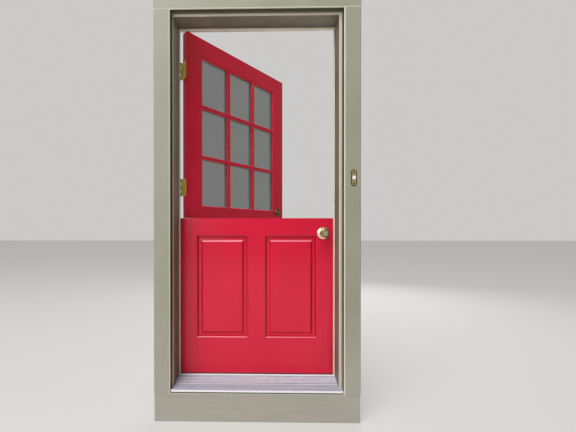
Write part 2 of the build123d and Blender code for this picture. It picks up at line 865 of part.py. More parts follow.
rebate_width = lite_width + 2 * sticking
rebate_height = lite_height + 2 * sticking
level_beads = (
    Location((0, 0, -rebate_height / 2)),
    Location((0, 0, rebate_height / 2), (0, 180, 0)),
)
upright_beads = (
    Location((-rebate_width / 2, 0, 0), (0, 90, 0)),
    Location((rebate_width / 2, 0, 0), (0, -90, 0)),
)
with BuildPart() as glazing_beads:
    with Locations(*lite_middles):
        with Locations(*level_beads):
            add(bead_strip(rebate_width))
        with Locations(*upright_beads):
            add(bead_strip(rebate_height))
save_on_upper_leaf(glazing_beads, "glazing_beads")

# Deadbolt of the upper leaf
with BuildPart() as deadbolt_case:
    add(lock_case(deadbolt_z, deadbolt_width, deadbolt_height))
save_on_upper_leaf(deadbolt_case, "deadbolt_case")

with BuildPart() as deadbolt:
    with Locations((half_door - bolt_inset - deadbolt_length / 2, mid_leaf, deadbolt_z)):
        Box(deadbolt_length, deadbolt_width, deadbolt_height)
    chamfer(deadbolt.faces().sort_by(Axis.X)[-1].edges(), faceplate_thickness / 3)
save_on_upper_leaf(deadbolt, "deadbolt")


def turned(profile):
    """Solid of revolution about Z from points of radius and height."""
    with BuildPart() as piece:
        with BuildSketch(Plane.XZ):
            with BuildLine():
                Polyline(*profile, close=True)
            make_face()
        revolve(axis=Axis.Z)
    return piece.part


with BuildPart() as key_plug:
    with Locations((0, 0, plug_stand)):
        Cylinder(plug_radius, plug_length, align=(Align.CENTER, Align.CENTER, Align.MAX))
        Box(keyway_width, keyway_height, 2 * keyway_depth, mode=Mode.SUBTRACT)

ring_place = place(lock_x, leaf_front, deadbolt_z, (0, -1, 0))
with BuildPart() as deadbolt_ring:
    with Locations(ring_place):
        add(turned((
            (plug_radius + plug_fit, 0),
            (ring_radius, 0),
            (ring_radius, rose_rim),
            (ring_face_radius, ring_height),
            (ring_face_radius - ring_dish, ring_height),
            (ring_face_radius - 2 * ring_dish, ring_height - ring_dish),
            (plug_radius + plug_fit, ring_height - ring_dish),
        )))
save_on_upper_leaf(deadbolt_ring, "deadbolt_ring")

ring_floor = ring_height - ring_dish
with BuildPart() as deadbolt_key_plug:
    with Locations(place(lock_x, leaf_front - ring_floor, deadbolt_z, (0, -1, 0))):
        add(key_plug.part)
save_on_upper_leaf(deadbolt_key_plug, "deadbolt_key_plug")

turn_place = place(lock_x, jamb_depth, deadbolt_z, (0, 1, 0))
with BuildPart() as deadbolt_turn_plate:
    with Locations(turn_place):
        add(turned((
            (turn_stem_radius + turning_clearance, 0),
            (ring_radius, 0),
            (ring_radius, rose_rim),
            (ring_face_radius, turn_plate_height),
            (turn_stem_radius + turning_clearance, turn_plate_height),
        )))
save_on_upper_leaf(deadbolt_turn_plate, "deadbolt_turn_plate")

tail_length = leaf_thickness / 2 + case_radius
with BuildPart() as thumb_turn:
    with Locations(turn_place):
        Cylinder(turn_stem_radius, turn_stem_height, align=(Align.CENTER, Align.CENTER, Align.MIN))
        Box(tailpiece_width, tailpiece_thickness, tail_length,
            align=(Align.CENTER, Align.CENTER, Align.MAX))
    with BuildSketch(Plane(origin=(lock_x, jamb_depth + turn_plate_height + turning_clearance, deadbolt_z),
                           x_dir=(1, 0, 0), z_dir=(0, 1, 0))):
        SlotOverall(turn_length, turn_width, rotation=90)
    extrude(amount=turn_height)
save_on_upper_leaf(thumb_turn, "thumb_turn")

# Quadrant and its keep
quadrant_x = half_door - quadrant_inset
quadrant_z = upper_bottom + quadrant_rise
quadrant_foot = jamb_depth + quadrant_plate_thickness + turning_clearance
indoors = Plane(origin=(quadrant_x, jamb_depth, quadrant_z), x_dir=(-1, 0, 0), z_dir=(0, 1, 0))
with BuildPart() as quadrant_plate:
    with BuildSketch(indoors):
        RectangleRounded(quadrant_plate_width, quadrant_plate_height, quadrant_plate_corner)
    extrude(amount=quadrant_plate_thickness)
    with BuildSketch(indoors):
        Circle(quadrant_stud_radius)
    extrude(amount=quadrant_plate_thickness + quadrant_thickness + 2 * turning_clearance)
    with BuildSketch(indoors.offset(quadrant_plate_thickness + quadrant_thickness + 2 * turning_clearance)):
        Circle(quadrant_hub_radius)
    extrude(amount=quadrant_stud_cap)
save_on_upper_leaf(quadrant_plate, "quadrant_plate")

with BuildPart() as quadrant:
    arm_length = quadrant_radius - quadrant_arm / 2
    with BuildSketch(indoors.offset(quadrant_plate_thickness + turning_clearance)):
        with Locations((arm_length / 2, 0)):
            SlotCenterToCenter(arm_length, quadrant_arm)
        Circle(quadrant_hub_radius)
        Circle(quadrant_stud_radius + turning_clearance, mode=Mode.SUBTRACT)
    extrude(amount=quadrant_thickness)
    with BuildSketch(indoors.offset(quadrant_plate_thickness + turning_clearance + quadrant_thickness)):
        with Locations((arm_length / 2, 0)):
            Circle(quadrant_knob_radius)
    extrude(amount=quadrant_knob_reach)
save_on_upper_leaf(quadrant, "quadrant")

keep_top = lower_top - keep_drop
keep_slot = quadrant_thickness + 2 * keep_clearance
keep_base = quadrant_foot - keep_clearance - jamb_depth
with BuildPart() as quadrant_keep:
    with BuildSketch(Plane.XY.offset(keep_top - keep_height)):
        wall_x = quadrant_x + quadrant_arm / 2 + keep_clearance
        with Locations((wall_x - keep_lap, jamb_depth)):
            Rectangle(keep_lap + keep_wall, keep_base + keep_slot + keep_wall,
                      align=(Align.MIN, Align.MIN))
        with Locations((wall_x - keep_lap, jamb_depth + keep_base)):
            Rectangle(keep_lap, keep_slot, align=(Align.MIN, Align.MIN), mode=Mode.SUBTRACT)
    extrude(amount=keep_height)
save_piece(quadrant_keep, "quadrant_keep")

# Lower leaf, its members coped and grooved round two raised panels
panel_low = leaf_bottom + bottom_rail_width
panel_high = lower_top - lower_top_rail_width
panelled_stile = stile(panelled_edge, leaf_bottom, lower_leaf_height)

with BuildPart() as lower_hinge_stile:
    add(panelled_stile)
    add(butt_seats(lower_hinges, -half_door, 1), mode=Mode.SUBTRACT)
    with Locations(*lower_hinge_screws):
        Hole(screw_shank_radius + screw_clearance, depth=screw_length)
save_piece(lower_hinge_stile, "lower_hinge_stile")

with BuildPart() as lower_lock_stile:
    mirror(panelled_stile, about=Plane.YZ)
    add(lock_bores(latch_z), mode=Mode.SUBTRACT)
save_piece(lower_lock_stile, "lower_lock_stile")

with BuildPart() as lower_top_rail:
    add(rail(panelled_edge, lower_top_rail_width, lower_top, -1, panelled_stile, groove_depth))
save_piece(lower_top_rail, "lower_top_rail")

with BuildPart() as lower_bottom_rail:
    add(rail(panelled_edge, bottom_rail_width, leaf_bottom, 1, panelled_stile, groove_depth))
save_piece(lower_bottom_rail, "lower_bottom_rail")

with BuildPart() as mullion:
    extrude(bar_section(panelled_edge, mullion_width, (0, leaf_front, panel_low - groove_depth),
                        (1, 0, 0), (0, 0, 1)), amount=panel_high - panel_low + 2 * groove_depth)
    add(lower_top_rail.part, mode=Mode.SUBTRACT)
    add(lower_bottom_rail.part, mode=Mode.SUBTRACT)
save_piece(mullion, "mullion")


def panel_section(span, plane):
    """Section through the thickness of a raised panel with a tongue, bevel and cove at each edge."""
    tongue = groove_width / 2 - tongue_clearance
    field = leaf_thickness / 2 - panel_recess
    edge = span / 2
    sight = edge - tongue_length
    with BuildSketch(plane) as section:
        with BuildLine():
            Polyline((0, 0), (edge, 0), (edge, tongue), (sight, tongue),
                     (sight - bevel_width, tongue + bevel_rise))
            SagittaArc((sight - bevel_width, tongue + bevel_rise), (sight - margin_width, field),
                       -cove_hollow)
            Polyline((sight - margin_width, field), (0, field), (0, 0))
        make_face()
        mirror(about=Plane.YZ)
        mirror(about=Plane.XZ)
    return section.sketch


panel_width = sight_x - mullion_width / 2 + 2 * tongue_length
panel_height = panel_high - panel_low + 2 * tongue_length
panel_x = (sight_x + mullion_width / 2) / 2
panel_z = (panel_low + panel_high) / 2
with BuildPart() as raised_panel:
    extrude(panel_section(panel_width, Plane.XY), amount=panel_height / 2, both=True)
    extrude(panel_section(panel_height, Plane.YZ.rotated((90, 0, 0))), amount=panel_width / 2,
            both=True, mode=Mode.INTERSECT)
for name, side in (("panel_hinge_side", -1), ("panel_lock_side", 1)):
    with BuildPart() as panel:
        with Locations((side * panel_x, mid_leaf, panel_z)):
            add(raised_panel.part)
    save_piece(panel, name)

# Latch of the lower leaf
with BuildPart() as latch_case:
    add(lock_case(latch_z, latch_width, latch_height))
save_piece(latch_case, "latch_case")

with BuildPart() as latch_bolt:
    with BuildSketch(Plane.XY.offset(latch_z - latch_height / 2)):
        tip = half_door + latch_throw
        front = mid_leaf - latch_width / 2
        with BuildLine():
            Polyline(
                (tip - latch_length, front),
                (tip - latch_bevel, front),
                (tip, front + latch_width - bolt_inset),
                (tip, front + latch_width),
                (tip - latch_length, front + latch_width),
                close=True,
            )
        make_face()
    extrude(amount=latch_height)
save_piece(latch_bolt, "latch_bolt")

knob_places = (
    place(lock_x, leaf_front, latch_z, (0, -1, 0)),
    place(lock_x, jamb_depth, latch_z, (0, 1, 0)),
)
with BuildPart() as knob_roses:
    with Locations(*knob_places):
        add(turned((
            (neck_radius + turning_clearance, 0),
            (rose_radius, 0),
            (rose_radius, rose_rim),
            (rose_crown, rose_height),
            (neck_radius + turning_clearance, rose_height),
        )))
save_piece(knob_roses, "knob_roses")

knob_floor = knob_reach - knob_dish_depth
knob_shoulder = knob_reach - knob_ring_height
with BuildPart() as knob:
    with BuildSketch(Plane.XZ):
        with BuildLine():
            Polyline(
                (neck_radius, neck_end),
                (neck_radius, -knob_shank_depth),
                (0, -knob_shank_depth),
                (0, knob_floor),
                (knob_dish_radius, knob_floor),
                (knob_dish_radius + knob_dish_depth, knob_reach),
                (knob_ring_radius - knob_ring_arris, knob_reach),
                (knob_ring_radius, knob_reach - knob_ring_arris),
                (knob_ring_radius, knob_shoulder),
                (knob_shoulder_radius, knob_shoulder),
            )
            Spline((knob_shoulder_radius, knob_shoulder), (knob_radius, knob_widest),
                   (neck_radius, neck_end), tangents=((1, -1 / 2), (-1, -1 / 3)))
        make_face()
    revolve(axis=Axis.Z)
    with Locations((0, 0, knob_floor)):
        Cylinder(plug_radius + plug_fit, plug_length - plug_stand,
                 align=(Align.CENTER, Align.CENTER, Align.MAX), mode=Mode.SUBTRACT)

with BuildPart() as knob_set:
    with Locations(*knob_places):
        add(knob.part)
    with Locations((lock_x, mid_leaf, latch_z)):
        Box(spindle_width, leaf_thickness, spindle_width)
save_piece(knob_set, "knob_set")

with BuildPart() as knob_key_plug:
    with Locations(place(lock_x, leaf_front - knob_floor, latch_z, (0, -1, 0))):
        add(key_plug.part)
save_piece(knob_key_plug, "knob_key_plug")

with BuildPart() as turn_button:
    with Locations(place(lock_x, jamb_depth + knob_floor, latch_z, (0, 1, 0))):
        Cylinder(plug_radius, plug_length - plug_stand, align=(Align.CENTER, Align.CENTER, Align.MAX))
        Box(button_width, 2 * plug_radius - button_width, button_reach,
            align=(Align.CENTER, Align.CENTER, Align.MIN))
save_piece(turn_button, "turn_button")


# Strikes
def strike_plate(z, bolt_width, bolt_height):
    """Strike let into the jamb at height z, with a hole for its bolt."""
    with BuildPart() as piece:
        with BuildSketch(Plane.YZ.offset(rabbet_x)):
            with Locations((mid_leaf, z)):
                RectangleRounded(strike_width, strike_height, strike_corner)
        extrude(amount=strike_thickness)
        with Locations((rabbet_x, mid_leaf, z)):
            Box(2 * strike_thickness, bolt_width + 2 * strike_hole_clearance,
                bolt_height + 2 * strike_hole_clearance, mode=Mode.SUBTRACT)
        with Locations(*strike_screws):
            CounterSinkHole(screw_shank_radius + screw_clearance,
                            screw_head_radius + screw_clearance, depth=2 * strike_thickness)
    return piece.part


with BuildPart() as deadbolt_strike:
    add(strike_plate(deadbolt_z, deadbolt_width, deadbolt_height))
save_piece(deadbolt_strike, "deadbolt_strike")

with BuildPart() as latch_strike:
    add(strike_plate(latch_z, latch_width, latch_height))
    with Locations((rabbet_x, mid_leaf + strike_width / 2, latch_z)):
        Box(strike_thickness, jamb_depth - mid_leaf - strike_width / 2, strike_lip_height,
            align=(Align.MIN, Align.MIN, Align.CENTER))
save_piece(latch_strike, "latch_strike")

# Door sweep under the lower leaf
with BuildPart() as door_sweep:
    with BuildSketch(Plane.YZ):
        with Locations((mid_leaf, leaf_bottom - sweep_base / 2)):
            Rectangle(sweep_width, sweep_base)
        fin_foot = cap_top + sweep_clearance
        for fin in (-1, 0, 1):
            fin_y = mid_leaf + fin * (sweep_width - sweep_fin) / 2
            with Locations((fin_y, (leaf_bottom + fin_foot) / 2)):
                Rectangle(sweep_fin, leaf_bottom - fin_foot)
    extrude(amount=half_door, both=True)
save_piece(door_sweep, "door_sweep")

# Bell push
bell_face = Plane(origin=(bell_x, -casing_thickness, bell_height), x_dir=(1, 0, 0), z_dir=(0, -1, 0))
with BuildPart() as bell_plate:
    with BuildSketch(bell_face):
        SlotOverall(bell_length, bell_width, rotation=90)
    extrude(amount=bell_thickness)
    chamfer(bell_plate.faces().sort_by(Axis.Y)[0].edges(), bell_bevel)
    with Locations(place(bell_x, -casing_thickness, button_z, (0, -1, 0))):
        Cylinder(bell_button_radius + bell_button_clearance, 2 * bell_thickness, mode=Mode.SUBTRACT)
save_piece(bell_plate, "bell_plate")

with BuildPart() as bell_button:
    with Locations(place(bell_x, -casing_thickness, button_z, (0, -1, 0))):
        Cylinder(bell_button_radius, bell_thickness + bell_button_reach,
                 align=(Align.CENTER, Align.CENTER, Align.MIN))
    fillet(bell_button.edges().group_by(Axis.Y)[0], bell_button_edge)
    with Locations(place(bell_x, bell_button_clearance - casing_thickness, button_z, (0, -1, 0))):
        Cylinder(bell_button_radius, bell_button_clearance, align=(Align.CENTER, Align.CENTER, Align.MIN))
        Cylinder(bell_flange_radius, bell_flange_height, align=(Align.CENTER, Align.CENTER, Align.MAX))
save_piece(bell_button, "bell_button")
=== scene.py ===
"""Looks of the dutch stable door: paint, brass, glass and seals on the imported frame."""
import math

import bpy
import numpy as np
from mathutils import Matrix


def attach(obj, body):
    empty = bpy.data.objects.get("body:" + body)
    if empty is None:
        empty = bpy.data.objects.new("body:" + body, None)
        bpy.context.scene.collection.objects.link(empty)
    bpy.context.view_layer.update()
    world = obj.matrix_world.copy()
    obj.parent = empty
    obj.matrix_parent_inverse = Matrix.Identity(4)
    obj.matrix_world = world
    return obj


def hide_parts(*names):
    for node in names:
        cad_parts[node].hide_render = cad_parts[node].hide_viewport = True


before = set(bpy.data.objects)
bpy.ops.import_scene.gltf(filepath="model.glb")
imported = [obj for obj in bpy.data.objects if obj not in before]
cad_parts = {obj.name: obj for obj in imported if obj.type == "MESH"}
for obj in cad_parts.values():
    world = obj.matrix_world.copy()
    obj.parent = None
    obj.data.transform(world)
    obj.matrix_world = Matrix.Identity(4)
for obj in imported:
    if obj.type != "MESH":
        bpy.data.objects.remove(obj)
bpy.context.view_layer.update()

# Casing, small beads and apron: softwood boards nailed up round the doorway and brushed with
# olive-grey satin paint. The brush marks run along each board. Painted shade darkens the narrow
# corner behind the casing's edge, a painted highlight runs along that edge, and the paint is made
# paler towards the bottom.
CASING_SHIFT = 0.0056
CASING_INNER = 0.4657
CASING_UNDER = 2.0603
CASING_EDGE_BACK = -0.0285
ARRIS_HIGHLIGHT_WIDTH = 0.006
CORNER_REACH = 0.003
LOW_PALE_FADE = (-0.15, 0.5)
OLIVE_GREY = (0.302, 0.3, 0.226, 1)
PALE_OLIVE = (0.355, 0.35, 0.275, 1)
WORN_OLIVE = (0.235, 0.228, 0.168, 1)
BEAD_DIRT_AND_SHADE_OLIVE = (0.13, 0.122, 0.08, 1)
BEAD_DIRT_AND_SHADE_BROWN = (0.1, 0.088, 0.056, 1)
ARRIS_HIGHLIGHT_OLIVE = (0.78, 0.74, 0.62, 1)
CORNER_SHADE = (0.07, 0.062, 0.036, 1)
LOW_PALE = (0.43, 0.395, 0.36, 1)


class Wire:
    """One output in a tree of nodes. Python operators on it add Math nodes and give new wires."""

    def __init__(self, nodes, socket):
        self.nodes = nodes
        self.socket = socket

    def combine(self, operation, *terms):
        return self.nodes.node("ShaderNodeMath", {"operation": operation}, dict(enumerate(terms)))

    def __add__(self, other):
        return self.combine("ADD", self, other)

    def __radd__(self, other):
        return self.combine("ADD", other, self)

    def __sub__(self, other):
        return self.combine("SUBTRACT", self, other)

    def __rsub__(self, other):
        return self.combine("SUBTRACT", other, self)

    def __mul__(self, other):
        return self.combine("MULTIPLY", self, other)

    def __rmul__(self, other):
        return self.combine("MULTIPLY", other, self)

    def __truediv__(self, other):
        return self.combine("DIVIDE", self, other)

    def __gt__(self, other):
        return self.combine("GREATER_THAN", self, other)

    def __lt__(self, other):
        return self.combine("LESS_THAN", self, other)

    def __abs__(self):
        return self.combine("ABSOLUTE", self)

    def at_least(self, other):
        return self.combine("MAXIMUM", self, other)

    def root(self):
        return self.combine("SQRT", self)

    def near(self, value, reach):
        """One at a value, falling evenly to nothing at a reach on either side."""
        return (1.0 - abs(self - value) / reach).at_least(0.0)


class Nodes:
    """A tree of nodes, of a material or of the world, that one method adds to."""

    def __init__(self, tree):
        self.tree = tree

    def node(self, kind, settings=None, inputs=None, output=0):
        """Adds a node: its settings first, then the values or wires of its sockets."""
        made = self.tree.nodes.new(kind)
        for setting, value in (settings or {}).items():
            setattr(made, setting, value)
        for socket, value in (inputs or {}).items():
            if isinstance(value, Wire):
                self.tree.links.new(value.socket, made.inputs[socket])
            else:
                made.inputs[socket].default_value = value
        return Wire(self, made.outputs[output])


class Finish(Nodes):
    """A material in the making: a Principled shader whose constants sit on its own sockets."""

    def __init__(self, name, **constants):
        self.material = bpy.data.materials.new(name)
        self.material.use_nodes = True
        super().__init__(self.material.node_tree)
        self.shader = self.tree.nodes["Principled BSDF"]
        for socket, value in constants.items():
            self.shader.inputs[socket.replace("_", " ")].default_value = value

    def feed(self, socket, wire):
        self.tree.links.new(wire.socket, self.shader.inputs[socket])

    def place(self, scale=(1.0, 1.0, 1.0), turn=0.0, shift=(0.0, 0.0, 0.0)):
        """Object coordinates turned about Z, shifted, and then scaled."""
        spot = self.node("ShaderNodeTexCoord", output="Object")
        moved = self.node("ShaderNodeMapping", {"vector_type": "POINT"},
                          {"Vector": spot, "Rotation": (0.0, 0.0, turn), "Location": shift})
        return self.node("ShaderNodeVectorMath", {"operation": "MULTIPLY"}, {0: moved, 1: scale})

    def parts(self, place):
        """The x, y and z of a place."""
        return [self.node("ShaderNodeSeparateXYZ", {}, {0: place}, output=axis) for axis in "XYZ"]

    def noise(self, place, scale=1.0, detail=4.0, roughness=0.5):
        return self.node("ShaderNodeTexNoise", {}, {
            "Vector": place, "Scale": scale, "Detail": detail, "Roughness": roughness})

    def strokes(self, axis, across, along, detail, roughness=0.5, turn=0.0, shift=(0.0, 0.0, 0.0)):
        """Noise drawn out along one axis, so that it reads as brush marks, scuffs or grain."""
        scale = tuple(along if letter == axis else across for letter in "xyz")
        return self.noise(self.place(scale, turn, shift), detail=detail, roughness=roughness)

    def spread(self, wire, reach, to=(0.0, 1.0)):
        """Value carried from the range of a reach to another range, held at the ends."""
        return self.node("ShaderNodeMapRange", {"clamp": True}, {
            "Value": wire, "From Min": reach[0], "From Max": reach[1],
            "To Min": to[0], "To Max": to[1]})

    def line(self, distance, width, strength):
        """Strength out to half a width from a line, falling evenly to nothing at the width."""
        return self.spread(abs(distance), (width / 2, width), to=(strength, 0.0))

    def mix(self, factor, first, second):
        """Colour between two colours, RGBA tuples or wires."""
        return self.node("ShaderNodeMix", {"data_type": "RGBA"},
                         {"Factor": factor, 6: first, 7: second}, output=2)

    def height(self, wire, distance, strength):
        """Bump from a height of 0 to 1 that stands for a distance in metres."""
        return self.node("ShaderNodeBump", {},
                         {"Strength": strength, "Distance": distance, "Height": wire})

    def on(self, *nodes):
        """Puts the material in every slot of CAD nodes."""
        for name in nodes:
            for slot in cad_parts[name].material_slots:
                slot.material = self.material


def frame_paint(name, axis, main, pale):
    """Satin paint brushed along an axis. It is made paler low down, has a painted highlight
    along the casing's edge towards the opening, and painted shade in the corner behind that edge.
    """
    paint = Finish(name, IOR=1.45)
    here = paint.place()
    x, y, z = paint.parts(here)
    bristles = paint.strokes(axis, across=900.0, along=9.0, detail=3.0)
    cloudy = paint.noise(here, scale=3.2, detail=5.0, roughness=0.6)
    fine = paint.strokes(axis, across=70.0, along=8.0, detail=5.0, roughness=0.6)
    colour = paint.mix(paint.spread(cloudy, (0.35, 0.7)), main, pale)
    colour = paint.mix(paint.spread(bristles, (0.3, 0.75), to=(0.0, 0.3)), colour, WORN_OLIVE)
    # The paint is made paler towards the bottom.
    low_pale = paint.spread(z, LOW_PALE_FADE, to=(1.0, 0.0))
    low_pale = low_pale * paint.spread(fine, (0.35, 0.65), to=(0.5, 0.85))
    colour = paint.mix(low_pale, colour, LOW_PALE)
    from_edge = {"z": abs(x - CASING_SHIFT) - CASING_INNER, "x": z - CASING_UNDER}[axis]
    # Painted highlight: a pale line along the casing's edge towards the opening.
    arris_highlight = paint.line(from_edge, ARRIS_HIGHLIGHT_WIDTH, strength=0.9) * (y < CASING_EDGE_BACK)
    colour = paint.mix(arris_highlight, colour, ARRIS_HIGHLIGHT_OLIVE)
    # Painted shade: the corner behind the casing's edge is darkened.
    corner_shade = from_edge.near(0.0, CORNER_REACH) * (y > CASING_EDGE_BACK)
    darkening = corner_shade * paint.spread(fine, (0.2, 0.6), to=(0.8, 1.0))
    paint.feed("Base Color", paint.mix(darkening, colour, CORNER_SHADE))
    paint.feed("Roughness", 0.38 + 0.2 * cloudy + 0.3 * corner_shade)
    paint.feed("Normal", paint.height(bristles, distance=0.0003, strength=0.5))
    return paint


frame_paint("frame_paint_upright", "z", OLIVE_GREY, PALE_OLIVE).on("casing_left", "casing_right")
frame_paint("frame_paint_level", "x", OLIVE_GREY, PALE_OLIVE).on("casing_head", "apron_board")
# The beads' dark olive-brown is partly dirt and partly painted shade of the recess they sit in.
frame_paint("bead_paint_upright", "z", BEAD_DIRT_AND_SHADE_OLIVE, BEAD_DIRT_AND_SHADE_BROWN).on("bead_left", "bead_right")
frame_paint("bead_paint_level", "x", BEAD_DIRT_AND_SHADE_OLIVE, BEAD_DIRT_AND_SHADE_BROWN).on("bead_head")

# Jambs: softwood planed with a rabbet for the leaves and a kerf for the seal. Their front edges
# carry a painted highlight, the reveals behind them stay brown and a little soiled, with painted
# shade deepening towards the seals, and the rabbets behind the seals have kept clean.
EDGE_DEPTH = 0.0045
SHADE_DEPTHS = (0.06, 0.11)
RABBET_FRONT = 0.118
RABBET_SIDE = 0.461
RABBET_HEAD = 2.0557
REVEAL_BROWN = (0.215, 0.19, 0.135, 1)
REVEAL_WORN = (0.16, 0.14, 0.098, 1)
REVEAL_SOIL_AND_SHADE = (0.075, 0.062, 0.042, 1)
EDGE_HIGHLIGHT_PALE = (0.7, 0.655, 0.54, 1)
SHELTERED_PALE = (0.85, 0.78, 0.68, 1)


def jamb_paint(name, axis):
    """Brown-olive paint brushed along an axis, with a painted highlight on the front edge, painted
    shade towards the seal, and clean and pale in the rabbet behind it.
    """
    paint = Finish(name, IOR=1.45)
    here = paint.place()
    x, depth, z = paint.parts(here)
    bristles = paint.strokes(axis, across=800.0, along=8.0, detail=3.0)
    patches = paint.noise(here, scale=5.0, detail=5.0, roughness=0.65)
    colour = paint.mix(paint.spread(patches, (0.4, 0.7)), REVEAL_BROWN, REVEAL_WORN)
    colour = paint.mix(paint.spread(bristles, (0.4, 0.8), to=(0.0, 0.4)), colour, REVEAL_SOIL_AND_SHADE)
    # Painted shade: the reveal darkens with depth towards the seal.
    colour = paint.mix(paint.spread(depth, SHADE_DEPTHS, to=(0.0, 0.7)), colour, REVEAL_SOIL_AND_SHADE)
    # Painted highlight: the jamb's front edge is made pale.
    edge_highlight = (depth < EDGE_DEPTH) * paint.spread(bristles, (0.3, 0.8), to=(0.95, 0.6))
    colour = paint.mix(edge_highlight, colour, EDGE_HIGHLIGHT_PALE)
    inside = {"z": abs(x) < RABBET_SIDE, "x": z < RABBET_HEAD}[axis]
    sheltered = (depth > RABBET_FRONT) * inside * paint.spread(patches, (0.4, 0.8), to=(1.0, 0.7))
    paint.feed("Base Color", paint.mix(sheltered, colour, SHELTERED_PALE))
    paint.feed("Roughness", 0.4 + 0.25 * patches)
    paint.feed("Normal", paint.height(bristles, distance=0.0004, strength=0.5))
    return paint


jamb_paint("jamb_paint_upright", "z").on("hinge_jamb", "strike_jamb")
jamb_paint("jamb_paint_level", "x").on("head_jamb")

# Leaves: softwood members coped and glued together. Outside and on their edges they are brushed
# with red gloss enamel, and indoors they are white. The marks follow each member's grain, so they
# turn at every joint, and a hairline shows where a rail's shoulder meets its stile.
LEAF_OPEN = math.radians(49.6)
PIN_X = -0.4588
PIN_Y = 0.1877
HALF_LEAF = 0.4572
LEAF_MIDDLE = 0.144475
LEAF_FOOT = 0.0452
LEAF_PARTING = 0.9485
LEAF_HEAD = 2.0518
RED_SIDES = 0.0001
RED_ENDS = 0.0018
SHOULDER = 0.3429
HAIRLINE = 0.001
HAIRLINE_SHOWS = 0.7
PANEL_X = 0.199675
PANEL_Z = 0.54695
PANEL_HALF_WIDTH = 0.143225
PANEL_HALF_HEIGHT = 0.29145
CORNER_WIDTH = 0.003
SHADE_FULL_ABOVE = 0.27
QUIRK = 0.00875
QUIRK_WIDTH = 0.0016
QUIRK_SHOWS = 0.6
FIELD_EDGE = -0.0275
FIELD_EDGE_WIDTH = 0.0028
DUST_AND_SHEEN_SLOPES = (0.25, 0.55)
LEDGE_FADE = (0.9, 0.97)
RAIL_CHIPS = ((0.191, 0.1225, 0.002), (0.197, 0.155, 0.0009), (0.2005, 0.148, 0.0007))
RED = (0.74, 0.004, 0.042, 1)
DARK_RED = (0.64, 0.003, 0.03, 1)
DEEP_RED = (0.38, 0.003, 0.015, 1)
JOINT_RED = (0.2, 0.003, 0.01, 1)
CORNER_SHADE_RED = (0.34, 0.0005, 0.007, 1)
DUST_AND_SHEEN_RED = (0.95, 0.3, 0.42, 1)
INDOOR_WHITE = (0.76, 0.75, 0.7, 1)
INDOOR_SHADE = (0.66, 0.645, 0.59, 1)
# A place on the open upper leaf, turned back by its angle and then shifted so, is where it is
# when shut.
SHUT_SHIFT = (PIN_X - PIN_X * math.cos(LEAF_OPEN) - PIN_Y * math.sin(LEAF_OPEN),
              PIN_Y + PIN_X * math.sin(LEAF_OPEN) - PIN_Y * math.cos(LEAF_OPEN), 0.0)


